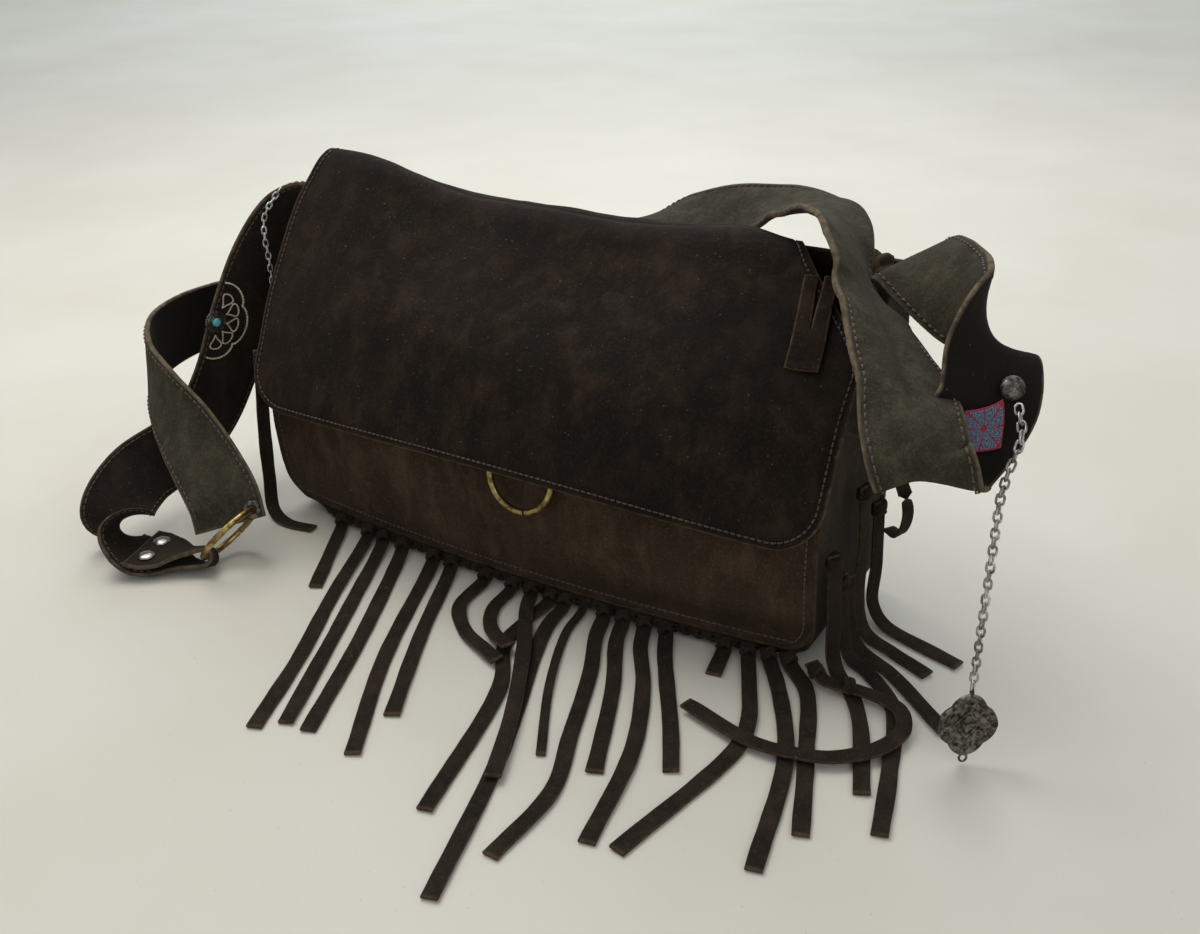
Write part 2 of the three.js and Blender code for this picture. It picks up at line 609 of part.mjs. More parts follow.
// ---------------------------------------------------------------- chains and pendant
// Closed round rod along a smooth route.
function rod(points, radius, steps, sides = 6) {
  const curve = new THREE.CatmullRomCurve3(points.map((p) => V(...p)), false, "centripetal");
  const frames = curve.computeFrenetFrames(steps);
  return loft(frames.tangents.map((_, i) => Array.from({ length: sides }, (_, j) => {
    const a = (Math.PI * 2 * j) / sides;
    return curve.getPointAt(i / steps).addScaledVector(frames.normals[i], radius * Math.cos(a))
      .addScaledVector(frames.binormals[i], radius * Math.sin(a));
  })));
}

// The right chain starts at the stud, lies over the loop's right edge and hangs down to the pendant.
const CHAIN_LINE = [236.5, -69.6]; // x, y of the hanging part
const PENDANT_TOP_Z = 37.5;
const chain = new THREE.Group();
bag.add(chain);
add("right_chain", rod([[235, -55, 156], [239.5, -64, 148], [238, -70, 136], [...CHAIN_LINE, 124], [...CHAIN_LINE, 112],
  [...CHAIN_LINE, PENDANT_TOP_Z + 1]], CHAIN_R, 28), silver, chain);

// Pendant: a flat diamond with eight lobes and a small loop at the bottom, turned towards the front right.
function pendantOutline() {
  const shape = new THREE.Shape();
  const steps = 48;
  for (let i = 0; i < steps; i += 1) {
    const a = (Math.PI * 2 * i) / steps;
    const lobe = 1 + 0.07 * Math.abs(Math.sin(4 * a));
    const diamond = 1 / (Math.abs(Math.cos(a)) + Math.abs(Math.sin(a))) ** 0.55;
    shape.lineTo(12.4 * lobe * diamond * Math.cos(a), 15.4 * lobe * diamond * Math.sin(a));
  }
  return shape;
}
const pendantBody = new THREE.ExtrudeGeometry(pendantOutline(), { depth: PENDANT_T, bevelEnabled: false, steps: 1 });
pendantBody.translate(0, 0, -PENDANT_T / 2).rotateX(Math.PI / 2);
const pendant = add("pendant", pendantBody, pewter, chain);
pendant.position.set(...CHAIN_LINE, PENDANT_TOP_Z - 17.2);
pendant.rotation.z = THREE.MathUtils.degToRad(32);

// The left chain hangs over the front edge of the short strap and ends beside the flap.
const leftRoute = [[-168.5, -9, 174], [-169, -22, 163], [-168.5, -25, 155], [-167, -26, 140], [-166, -27, 122]];
add("left_chain", rod(leftRoute, 1.6, 16), silver);

// Gathered leather knot at the right end of the top edge.
const knot = new THREE.SphereGeometry(1, 12, 8).scale(8, 8.5, 6.5);
add("shoulder_knot", knot, suede).position.set(150, 25, 168);

// ---------------------------------------------------------------- fringe
// Each thong is one strip of suede. Points are [x, y, z]. The strip lies face up on the surface, and where it hangs
// it keeps the width direction of the part that follows.
function thong(name, points, width = THONG_W) {
  const turned = [];
  for (let i = points.length - 1; i >= 0; i -= 1) {
    const [a, b] = [points[Math.max(0, i - 1)], points[Math.min(points.length - 1, i + 1)]];
    const along = V(b[0] - a[0], b[1] - a[1], 0);
    const flat = along.length() > 0.5 * Math.abs(b[2] - a[2]);
    const side = flat || !turned.length ? along.cross(UP).normalize().toArray() : turned[0].slice(3);
    turned.unshift([...points[i], ...side]);
  }
  add(name, band(turned, { width, thickness: THONG_T, steps: 4 * (points.length - 1) }), suedeDark);
}

// Front thongs: knotted at the border at x, then [x, y, layer] on the surface. The layer counts the strips below.
const frontThongs = [
  [-118, [-104, -72, 0], [-87, -103, 0]],
  [-97, [-75, -102, 0], [-52, -152, 0], [-34, -199, 0]],
  [-86, [-64, -98, 0], [-42, -148, 0], [-24, -190, 0]],
  [-72, [-37, -126, 0], [-12, -189, 0]],
  [-50, [-17, -132, 0], [15, -191, 0]],
  [-38, [-14, -108, 0], [13, -163, 0]],
  [-14, [-12, -80, 0], [4, -97, 0.3], [20, -105, 1.1], [32, -110, 1.1]],
  [3, [4, -74, 0], [16, -92, 1.4], [32, -101, 2.3]],
  [26, [25, -92, 0], [43, -124, 0], [62, -202, 0]],
  [34, [36, -75, 0], [70, -162, 0], [92, -237, 0]],
  [12, [20, -68, 1.3], [38, -97, 1.3], [60, -138, 1.2], [76, -175, 1.2]],
  [44, [46, -72, 0], [61, -110, 0], [84, -152, 0]],
  [55, [60, -68, 0], [73, -95, 0], [88, -135, 0], [100, -168, 0], [99, -209, 0]],
  [65, [71, -68, 0], [87, -98, 0], [109, -150, 0]],
  [76, [83, -66, 0], [98, -90, 0], [116, -131, 0], [127, -185, 0]],
  [87, [96, -66, 0], [124, -112, 0], [136, -134, 0]],
  [118, [122, -68, 0]],
  [128, [139, -66, 0], [150, -90, 0], [153, -108, 0], [139, -183, 0]],
  [137, [150, -60, 0], [173, -103, 0], [188, -166, 0]],
  [146, [163, -58, 0], [180, -98, 0], [196, -141, 0]],
];
const onFloor = ([x, y, layer]) => [x, y, THONG_Z + LAYER * layer];
frontThongs.forEach(([x, ...route], i) => {
  const root = frontY(x, 5) + PANEL_T - THONG_T - 1;
  const [next] = route;
  const [dx, dy] = [next[0] - x, next[1] - root];
  const away = 6 / Math.hypot(dx, dy);
  const points = [[x, root, 5.6], [x + dx * away, root + dy * away, 2.5], ...route.map(onFloor)];
  thong(`front_thong_${String(i + 1).padStart(2, "0")}`, points, i === 11 ? 4.5 : THONG_W);
});

// Thongs that hang from the gusset and run out over the surface.
const sideThongs = {
  right_thong_1: [[163.5, -36, 60], [166, -38, 32], [168, -40, 9], [173, -44, 3], [180, -49, 1.1], [191, -66, 1.1], [208, -108, 1.1]],
  right_thong_2: [[163.5, -26, 44], [167, -27, 20], [171, -28, 4], [183, -33, 1.1], [200, -50, 1.1], [213, -90, 1.1],
    [222, -126, 1.1]],
  right_thong_3: [[163.5, -14, 37], [166, -16, 15], [172, -19, 2.8], [190, -27, 1.1], [225, -55, 1.1]],
  right_thong_4: [[163.5, -2, 78], [166, -5, 50], [166, -6, 20], [171, -7, 4], [186, -12, 1.1], [206, -21, 1.1]],
  right_thong_5: [[163.5, 20, 59], [166, 16, 30], [168, 10, 9], [175, 6, 2.6], [192, 0, 1.1], [216, -7, 1.1]],
  right_thong_loop: [[163.5, 30, 74], [171, 26, 68], [177, 22, 56], [174, 22, 43], [167, 26, 42]],
  right_floor_loop: [[160, -46, 7.5], [169, -52, 5], [186, -50, 3.9], [203, -53, 3.9], [210, -66, 3.9], [204, -84, 3.9],
    [188, -98, 3.9], [161, -104, 3.9], [136, -99, 3.9], [122, -95, 3.9]],
  left_thong: [[-163, -46, 96], [-163.5, -51, 56], [-163, -54, 21], [-158, -59, 4.6], [-146, -62, 1.2], [-128, -60, 1.2]],
  flap_side_thong: [[167, -14, 152], [168, -28, 136], [168, -38, 120]],
};
Object.entries(sideThongs).forEach(([name, points]) => thong(name, points));

export default bag;
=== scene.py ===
"""Looks of a fringed suede shoulder bag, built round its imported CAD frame.

Tables and lengths are in millimetres, as the bag is dimensioned; MM turns them into the scene's metres.
"""

import math

import bmesh
import bpy
import numpy as np
from mathutils import Matrix, Vector, noise


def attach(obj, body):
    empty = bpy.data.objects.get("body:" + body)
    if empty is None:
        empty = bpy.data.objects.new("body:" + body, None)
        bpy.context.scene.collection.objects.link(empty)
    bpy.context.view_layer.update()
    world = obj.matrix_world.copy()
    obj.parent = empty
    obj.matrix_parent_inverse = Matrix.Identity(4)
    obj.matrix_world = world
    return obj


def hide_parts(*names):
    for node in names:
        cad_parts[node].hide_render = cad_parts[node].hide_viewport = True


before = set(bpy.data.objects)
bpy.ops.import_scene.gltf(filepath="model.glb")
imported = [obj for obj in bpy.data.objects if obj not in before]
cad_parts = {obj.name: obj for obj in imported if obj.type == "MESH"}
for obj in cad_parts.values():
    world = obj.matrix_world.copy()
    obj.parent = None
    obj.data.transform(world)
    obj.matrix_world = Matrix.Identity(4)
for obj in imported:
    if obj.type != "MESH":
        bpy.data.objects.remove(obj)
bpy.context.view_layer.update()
MM = 0.001
UP = np.array([0.0, 0.0, 1.0])


# ---- camera
CAMERA_YAW, CAMERA_PITCH, CAMERA_ROLL = 32, 28, -1.5  # degrees
CAMERA_PLACE, CAMERA_LENS = (322.1, -480.3, 351.5), 37.5


def add(name, data):
    made = bpy.data.objects.new(name, data)
    bpy.context.scene.collection.objects.link(made)
    return made


def make_camera():
    """Looks down on the front from the right, with a slight roll."""
    yaw, pitch, roll = (math.radians(a) for a in (CAMERA_YAW, CAMERA_PITCH, CAMERA_ROLL))
    right = Vector((math.cos(yaw), math.sin(yaw), 0))
    ahead = Vector((-math.sin(yaw) * math.cos(pitch), math.cos(yaw) * math.cos(pitch), -math.sin(pitch)))
    above = right.cross(ahead)
    turned_right = right * math.cos(roll) + above * math.sin(roll)
    turned_up = above * math.cos(roll) - right * math.sin(roll)
    camera = add("camera", bpy.data.cameras.new("camera"))
    camera.data.lens = CAMERA_LENS
    camera.data.clip_start = 0.01
    matrix = Matrix((turned_right, turned_up, -ahead)).transposed().to_4x4()
    matrix.translation = Vector(CAMERA_PLACE) * MM
    camera.matrix_world = matrix
    bpy.context.scene.camera = camera


# ---- materials
def srgb(red, green, blue):
    """A colour given as it shows on a screen, 0 to 255, as linear RGBA."""
    shares = (((c / 255 + 0.055) / 1.055) ** 2.4 if c > 10 else c / 3294.6 for c in (red, green, blue))
    return (*shares, 1.0)


class Look:
    """A material in the making: a first colour, others laid over it, and bumps one on the other."""

    def __init__(self, name, colour=None, **values):
        self.material = bpy.data.materials.new(name)
        self.material.use_nodes = True
        self.tree = self.material.node_tree
        self.shader = self.tree.nodes["Principled BSDF"]
        self.set(self.shader, {key.replace("_", " "): value for key, value in values.items()})
        self.place = self.node("TexCoord").outputs["Object"]
        self.colour, self.normal = colour, None

    def set(self, made, inputs):
        """An input is set to a number, a colour or another node's output."""
        for key, value in inputs.items():
            if isinstance(value, bpy.types.NodeSocket):
                self.tree.links.new(value, made.inputs[key])
            else:
                made.inputs[key].default_value = value

    def node(self, kind, inputs=(), **settings):
        made = self.tree.nodes.new("ShaderNode" + kind)
        for key, value in settings.items():
            setattr(made, key, value)
        self.set(made, dict(inputs))
        return made

    def noise(self, scale, detail=3.0, roughness=0.55, distortion=0.0, place=None):
        inputs = {"Scale": scale, "Detail": detail, "Roughness": roughness, "Distortion": distortion}
        inputs["Vector"] = self.place if place is None else place
        return self.node("TexNoise", inputs).outputs["Fac"]

    def ranged(self, value, low, high, to_low=0.0, to_high=1.0):
        inputs = {"Value": value, "From Min": low, "From Max": high, "To Min": to_low, "To Max": to_high}
        return self.node("MapRange", inputs, clamp=True).outputs["Result"]

    def squeezed(self, squash):
        """The place with its heights scaled, for marks that run along or across them."""
        return self.node("Mapping", {"Vector": self.place, "Scale": (1.0, 1.0, squash)}).outputs["Vector"]

    def times(self, first, second):
        return self.node("Math", {0: first, 1: second}, operation="MULTIPLY").outputs[0]

    def field(self, name, output="Fac"):
        return self.node("Attribute", attribute_name=name).outputs[output]

    def twist(self, scale, distortion):
        inputs = {"Vector": self.place, "Scale": scale, "Distortion": distortion}
        return self.node("TexWave", inputs, bands_direction="DIAGONAL").outputs["Fac"]

    def lay(self, factor, colour, mode="MIX"):
        inputs = {0: factor, 6: self.colour, 7: colour}
        self.colour = self.node("Mix", inputs, data_type="RGBA", blend_type=mode).outputs[2]

    def bump(self, height, distance, strength):
        inputs = {"Height": height, "Distance": distance, "Strength": strength}
        if self.normal is not None:
            inputs["Normal"] = self.normal
        self.normal = self.node("Bump", inputs).outputs["Normal"]

    def done(self):
        self.set(self.shader, {"Base Color": self.colour})
        if self.normal is not None:
            self.set(self.shader, {"Normal": self.normal})
        return self.material


GRIME, LINT = (0.012, 0.009, 0.007, 1), srgb(120, 108, 92)


def make_suede(name, dark, middle, light, edge, inner=None, broad=16, nap=75, grain=1.0, sheen=0.25,
               speck=0.5):
    """Napped leather: cloudy brushed patches, fine grain, paler cut edges and a few specks of lint."""
    look = Look(name, dark, Roughness=0.93, Sheen_Weight=sheen, Sheen_Roughness=0.55, Sheen_Tint=light,
                Specular_IOR_Level=0.18)
    look.lay(look.ranged(look.noise(broad, 3, 0.6, 0.3), 0.34, 0.68), middle)
    brushed = look.ranged(look.noise(nap, 4, 0.65, 0.25, look.squeezed(0.45)), 0.46, 0.78)
    look.lay(look.times(brushed, 0.75), light)
    fine = look.noise(1500, 2, 0.7)
    look.lay(look.ranged(fine, 0.3, 0.7, 0.0, 0.5), GRIME, "MULTIPLY")
    look.lay(look.ranged(look.noise(700, 2), 0.52, 0.72, 0, 0.28), light)
    if inner is not None:
        look.lay(look.field("inside"), inner)
    look.lay(look.field("shade"), tuple(c * 0.35 for c in dark[:3]) + (1,))
    rub = look.ranged(look.noise(260), 0.4, 0.6, 0.35, 0.95)
    look.lay(look.times(look.field("edge"), rub), edge)
    look.lay(look.ranged(look.noise(900, 0), 0.83, 0.85, 0.0, speck), LINT)
    look.bump(look.noise(240, 4, 0.6), 0.0006, 0.6)
    look.bump(fine, 0.00022 * grain, 0.9)
    return look.done()


def make_metal(name, bright, dull, roughness, scale=220, grime=0.5):
    """Old plated metal: bright where it is rubbed, dull in its pits and scratches."""
    look = Look(name, dull, Metallic=1.0)
    worn = look.ranged(look.noise(scale, 4, 0.65), 0.38, 0.62)
    look.lay(worn, bright)
    look.lay(look.ranged(look.noise(scale * 0.3), 0.45, 0.7, 0, grime), dull)
    look.set(look.shader, {"Roughness": look.ranged(worn, 0, 1, roughness + 0.2, roughness)})
    look.bump(look.noise(900, place=look.squeezed(6.0)), 0.00008, 0.5)
    return look.done()


def make_stone():
    look = Look("turquoise_stone", srgb(46, 150, 165), Roughness=0.28, Coat_Weight=0.4)
    vein = look.ranged(look.noise(700, 4, 0.7, 1.5), 0.47, 0.53)
    look.lay(vein, srgb(104, 206, 212))
    look.lay(look.ranged(look.noise(1300, 2, 0.5, 2.0), 0.62, 0.7, 0, 0.7), srgb(40, 66, 66))
    look.bump(vein, 0.00006, 0.4)
    return look.done()


def make_thread(name, first, second):
    """Spun thread: a fine twist across each stitch and a little fading."""
    look = Look(name, first, Roughness=0.75, Sheen_Weight=0.3)
    look.lay(look.ranged(look.noise(180), 0.35, 0.65), second)
    look.bump(look.twist(900, 2), 0.0001, 0.6)
    return look.done()


def make_painted_cloth():
    """Patch cloth whose colour is laid in the mesh, with a fine over-and-under weave."""
    look = Look("patch_cloth", Roughness=0.85, Sheen_Weight=0.3)
    look.colour = look.field("paint", "Color")
    look.lay(look.ranged(look.noise(1400, 2), 0.35, 0.65, 0, 0.35), (0.02, 0.02, 0.03, 1))
    look.bump(look.twist(700, 1), 0.0002, 0.7)
    return look.done()


suede_panel = make_suede("suede_panel", srgb(52, 40, 30), srgb(72, 57, 43), srgb(102, 82, 62),
                         srgb(112, 90, 68))
suede_flap = make_suede("suede_flap", srgb(21, 16, 10), srgb(35, 26, 18), srgb(66, 50, 36), srgb(104, 82, 60),
                        broad=13)
suede_dark = make_suede("suede_dark", srgb(32, 26, 20), srgb(47, 38, 29), srgb(68, 56, 43), srgb(92, 75, 57),
                        broad=40)
suede_short = make_suede("suede_short_strap", srgb(34, 27, 22), srgb(47, 38, 30), srgb(66, 54, 43),
                         srgb(96, 84, 66))
strap_skin = make_suede("strap_skin", srgb(50, 46, 36), srgb(66, 61, 48), srgb(92, 86, 69), srgb(112, 97, 76),
                        inner=srgb(26, 21, 18), broad=30, nap=120, grain=0.6, sheen=0.12, speck=0.3)
brass = make_metal("antique_brass_plate", srgb(196, 172, 112), srgb(110, 86, 48), 0.3)
silver = make_metal("silver_plate", srgb(214, 212, 206), srgb(120, 118, 114), 0.22, grime=0.3)
pewter = make_metal("pewter_cast", srgb(142, 136, 128), srgb(52, 48, 44), 0.38, scale=500, grime=0.7)
stone = make_stone()
thread_brown = make_thread("thread_brown", srgb(62, 44, 36), srgb(86, 62, 50))
thread_lime = make_thread("thread_pale_green", srgb(186, 196, 140), srgb(226, 230, 190))
thread_cream = make_thread("thread_cream", srgb(206, 176, 158), srgb(238, 222, 196))
patch_cloth = make_painted_cloth()


# ---- floor and light, in metres
FLOOR_HALF = 6.0
SURROUND, SURROUND_POWER = (0.93, 0.96, 1.0, 1), 0.46
LIGHTS = (  # name, power, size, place, what it points at, colour
    ("key", 8.0, 0.8, (-0.55, 0.1, 1.1), (0, 0, 0.06), (1.0, 0.98, 0.94)),
    ("fill", 1.9, 0.8, (1.0, -0.7, 0.8), (0, 0, 0.06), (0.95, 0.97, 1.0)),
    ("rim", 3.0, 0.9, (0.0, 0.9, 0.9), (0, 0, 0.06), (1.0, 1.0, 1.0)),
    ("far", 27.0, 1.6, (-1.2, 2.0, 1.5), (-1.2, 2.0, 0), (0.82, 0.92, 1.0)),
)


def make_stage():
    """Pale floor, bright surround, soft key, fill and rim lights, and a broad one over the far floor."""
    look = Look("floor_pale", srgb(208, 203, 189), Roughness=0.55)
    look.lay(look.ranged(look.noise(5, 4), 0.35, 0.7), srgb(215, 211, 199))
    look.lay(look.ranged(look.noise(420, 1), 0.74, 0.78, 0.0, 0.22), srgb(150, 146, 136))
    mesh = bpy.data.meshes.new("floor")
    corners = [(x * FLOOR_HALF, y * FLOOR_HALF, 0) for x, y in ((-1, -1), (1, -1), (1, 1), (-1, 1))]
    mesh.from_pydata(corners, [], [(0, 1, 2, 3)])
    floor = add("floor", mesh)
    floor.data.materials.append(look.done())
    world = bpy.data.worlds.new("surround")
    world.use_nodes = True
    background = world.node_tree.nodes["Background"]
    background.inputs["Color"].default_value = SURROUND
    background.inputs["Strength"].default_value = SURROUND_POWER
    bpy.context.scene.world = world
    for name, power, size, place, aim, colour in LIGHTS:
        light = add(name, bpy.data.lights.new(name, "AREA"))
        light.data.energy, light.data.size, light.data.color = power, size, colour
        light.location = place
        light.rotation_euler = (Vector(aim) - Vector(place)).to_track_quat("-Z", "Y").to_euler()
    bpy.context.scene.view_settings.view_transform = "Standard"


# ---- curves and bands
def smooth(value, low, high):
    t = np.clip((np.asarray(value, float) - low) / (high - low), 0, 1)
    return t * t * (3 - 2 * t)


def unit(vectors):
    vectors = np.asarray(vectors, float)
    return vectors / np.maximum(np.linalg.norm(vectors, axis=-1, keepdims=True), 1e-9)


def lengths_along(points):
    """How far each point is from the first one, along the line."""
    return np.concatenate([[0], np.cumsum(np.linalg.norm(np.diff(points, axis=0), axis=1))])


def read_at(distance, lengths, rows):
    """Rows of a table that stand at the given lengths, interpolated at a distance."""
    return np.stack([np.interp(distance, lengths, column) for column in rows.T], -1)


def round_turn(count):
    return np.linspace(0, 2 * math.pi, count, endpoint=False)


class Route:
    """Centripetal Catmull-Rom curve through points; at() counts the points, along() measures the arc."""

    def __init__(self, points, fine=24):
        p = np.array([q[:3] for q in points], float)
        self.count = len(p)
        self.points = np.vstack([2 * p[0] - p[1], p, 2 * p[-1] - p[-2]])
        self.index = np.linspace(0, self.count - 1, (self.count - 1) * fine + 1)
        self.samples = self.at(self.index)
        self.lengths = lengths_along(self.samples)
        self.length = float(self.lengths[-1])

    def at(self, index):
        index = np.clip(np.atleast_1d(np.asarray(index, float)), 0, self.count - 1)
        k = np.minimum(index.astype(int), self.count - 2)
        w = (index - k)[:, None]
        a, b, c, d = (self.points[k + i] for i in range(4))
        pairs = (a, b), (b, c), (c, d)
        g0, g1, g2 = (np.maximum(np.linalg.norm(q - p, axis=1, keepdims=True), 1e-6) ** 0.5 for p, q in pairs)
        first = ((b - a) / g0 - (c - a) / (g0 + g1) + (c - b) / g1) * g1
        last = ((c - b) / g1 - (d - b) / (g1 + g2) + (d - c) / g2) * g1
        return b + first * w + (3 * (c - b) - 2 * first - last) * w**2 + (2 * (b - c) + first + last) * w**3

    def tangent(self, index):
        step = 1e-3
        return unit(self.at(np.asarray(index) + step) - self.at(np.asarray(index) - step))

    def index_at(self, distance):
        return np.interp(distance, self.lengths, self.index)

    def along(self, share):
        return self.at(self.index_at(np.asarray(share) * self.length))


class Band:
    """Flat strip along a route of [x, y, z, wx, wy, wz, share]; w is the width's direction there."""

    def __init__(self, points, width, thickness):
        self.route = Route(points)
        self.sides = Route(unit([p[3:6] for p in points]) * 10)
        self.shares = np.array([p[6] if len(p) > 6 else 1.0 for p in points])
        self.width = width
        self.thickness = thickness

    def frames(self, index):
        """Middle, width direction, face direction and share of the full width."""
        index = np.clip(np.atleast_1d(np.asarray(index, float)), 0, self.route.count - 1)
        side = self.sides.at(index)
        along = self.route.tangent(index)
        side = unit(side - along * (side * along).sum(1, keepdims=True))
        share = np.interp(index, np.arange(self.route.count), self.shares)
        return self.route.at(index), side, unit(np.cross(side, along)), share

    def spot(self, index, across, lift=0.0):
        """A point on the strip: across runs along the width, lift off the face. Gives point, side, face."""
        middle, side, face, _ = self.frames(index)
        across, lift = np.reshape(across, (-1, 1)), np.reshape(lift, (-1, 1))
        return middle + side * across + face * lift, side, face


# ---- mesh pieces
def piece(name, points, faces, material, body="bag", slot="brown_suede", replaces=(), fields=None,
          sharp=None):
    """Makes a piece from points in millimetres, its faces turned outwards, and puts it on its body."""
    mesh = bpy.data.meshes.new(name)
    mesh.from_pydata((np.asarray(points, float) * MM).tolist(), [], [tuple(map(int, f)) for f in faces])
    mesh.validate()
    work = bmesh.new()
    work.from_mesh(mesh)
    bmesh.ops.recalc_face_normals(work, faces=work.faces)
    work.to_mesh(mesh)
    work.free()
    for key, values in (fields or {}).items():
        values = np.asarray(values, np.float32)
        kind, part = ("FLOAT_COLOR", "color") if values.ndim == 2 else ("FLOAT", "value")
        mesh.attributes.new(key, kind, "POINT").data.foreach_set(part, values.ravel())
    mesh.shade_smooth()
    if sharp:
        mesh.set_sharp_from_angle(angle=math.radians(sharp))
    made = add(name, mesh)
    made.data.materials.append(material)
    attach(made, body)
    if replaces:
        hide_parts(*replaces)
    return made


class Build:
    """Collects points, faces and point fields of several closed parts for one piece."""

    def __init__(self):
        self.points, self.faces, self.fields = [], [], {}

    def add(self, points, faces, **fields):
        start = sum(len(p) for p in self.points)
        self.points.append(np.asarray(points, float))
        self.faces += [[start + i for i in f] for f in faces]
        for key, values in fields.items():
            self.fields.setdefault(key, []).append(np.broadcast_to(values, len(points)))

    def piece(self, name, material, **options):
        fields = {key: np.concatenate(parts) for key, parts in self.fields.items()}
        return piece(name, np.vstack(self.points), self.faces, material, fields=fields, **options)


def tube_faces(rings, count, closed=False, capped=True):
    """Faces of rings that each have count points, one ring after another."""
    faces = []
    for i in range(rings if closed else rings - 1):
        low, high = i * count, ((i + 1) % rings) * count
        faces += [(low + j, low + (j + 1) % count, high + (j + 1) % count, high + j) for j in range(count)]
    if capped and not closed:
        faces.append(tuple(range(count))[::-1])
        faces.append(tuple((rings - 1) * count + j for j in range(count)))
    return faces


def grid_shell(n, m):
    """Quads of the two faces of an n by m grid, numbered one after the other, and the ids of its rim."""
    ids = np.arange(n * m).reshape(n, m)
    quads = np.stack([ids[:-1, :-1], ids[1:, :-1], ids[1:, 1:], ids[:-1, 1:]], -1).reshape(-1, 4)
    rim = np.concatenate([ids[:, 0], ids[-1, 1:], ids[-2::-1, -1], ids[0, -2:0:-1]])
    return quads.tolist() + (quads[:, ::-1] + n * m).tolist(), rim


def wobble(points, size, seed=0.0):
    """Smooth noise between about -1 and 1 at points in millimetres, with features of the given size."""
    moved = np.asarray(points, float) / size + seed * 17.3
    return np.array([noise.noise(Vector(p)) for p in moved.reshape(-1, 3)]).reshape(moved.shape[:-1]) * 1.6


def turned(angle, axis):
    """Rotation by an angle in degrees about X, Y or Z."""
    return np.array(Matrix.Rotation(math.radians(angle), 3, axis))


def matrix_of(turn, position):
    matrix = np.eye(4)
    matrix[:3, :3], matrix[:3, 3] = turn, position
    return matrix


def placed(points, matrix):
    return np.asarray(points, float) @ matrix[:3, :3].T + matrix[:3, 3]


def even_grid(count, edge):
    """Values from 0 to 1 in equal steps, with one more close to each end."""
    inner = np.linspace(0, 1, count + 1)
    return np.unique(np.concatenate([inner, [edge, 1 - edge]]))


CUT_SHARE, ROUNDING = 0.75, 0.3  # how much of the cut edge's colour its sides take, and how far it bulges


def sheet(build, surface, columns, rows, thickness, outward, relief=None, shade=None, edges=(0.004, 0.006)):
    """Curved sheet with a rounded cut edge. surface(u, v) gives its outer face, which looks outward at its
    middle. relief(points, u, v) moves both faces alike, and shade(points, u, v) darkens the outer one."""
    us, vs = even_grid(columns, edges[0]), even_grid(rows, edges[1])
    u, v = np.meshgrid(us, vs, indexing="ij")
    outer = surface(u.ravel(), v.ravel()).reshape(len(us), len(vs), 3)
    normal = unit(np.cross(np.gradient(outer, axis=0), np.gradient(outer, axis=1)))
    normal *= np.sign(normal[len(us) // 2, len(vs) // 2] @ np.array(outward, float))
    if relief is not None:
        outer = outer + normal * relief(outer, u, v)[..., None]
    inner = outer - normal * thickness
    n, m = len(us), len(vs)
    faces, loop = grid_shell(n, m)
    total, around = n * m, len(loop)
    flat_outer, flat_inner = outer.reshape(-1, 3), inner.reshape(-1, 3)
    middle = (flat_outer[loop] + flat_inner[loop]) / 2
    ahead = unit(np.roll(middle, -1, axis=0) - np.roll(middle, 1, axis=0))
    out = unit(np.cross(ahead, (flat_outer - flat_inner)[loop]))
    out *= np.sign(((middle - middle.mean(0)) * out).sum(1).mean())
    rim = middle + out * thickness * ROUNDING
    for j in range(around):
        k = (j + 1) % around
        faces.append((loop[j], 2 * total + j, 2 * total + k, loop[k]))
        faces.append((2 * total + j, total + loop[j], total + loop[k], 2 * total + k))
    edge, inside, dark = np.zeros((3, 2 * total + around))
    edge[2 * total:] = 1
    edge[loop] = edge[total + loop] = CUT_SHARE
    inside[total:2 * total] = 1
    if shade is not None:
        dark[:total] = shade(outer, u, v).ravel()
    build.add(np.vstack([flat_outer, flat_inner, rim]), faces, edge=edge, inside=inside, shade=dark)


STRIP_EDGE = ((1, 0.45), (0.985, 0.85))  # how far out towards the edge, and the share of the thickness there
STRIP_FLAT = 0.93  # where the strip gets its full thickness


def strip(build, band, steps, shape=None, columns=8, edge_share=1.0, inside_sign=-1, ragged=None):
    """Strap or thong: a band with rounded edges. shape(index, across share) gives the lift of both faces.
    inside_sign says which face is the inner one, and ragged seeds a slightly uneven width."""
    distance = np.linspace(0, band.route.length, steps + 1)
    index = band.route.index_at(distance)
    middle, side, face, share = band.frames(index)
    half = band.thickness / 2
    outs, thin = np.array(STRIP_EDGE).T
    across = np.concatenate([-outs, np.linspace(-STRIP_FLAT, STRIP_FLAT, columns), outs[::-1]])
    lifts = np.concatenate([thin, np.ones(columns), thin[::-1]]) * half
    profile_across = np.concatenate([across, across[::-1]])
    profile_lift = np.concatenate([lifts, -lifts[::-1]])
    count = len(profile_across)
    extra = 0 if shape is None else shape(index[:, None], profile_across[None, :])
    if ragged is not None:
        share = share * (0.95 + 0.05 * wobble(middle, 14, ragged))
    width = (share * band.width / 2)[:, None, None]
    points = middle[:, None] + side[:, None] * profile_across[None, :, None] * width
    points = points + face[:, None] * (profile_lift[None, :] + extra)[..., None]
    edge = np.tile((np.abs(profile_across) > STRIP_FLAT) * edge_share, (len(index), 1))
    edge[0], edge[-1] = 1, 1
    inside = np.tile((profile_lift * inside_sign > 0).astype(float), len(index))
    build.add(points.reshape(-1, 3), tube_faces(len(index), count), edge=edge.ravel(), inside=inside, shade=0)


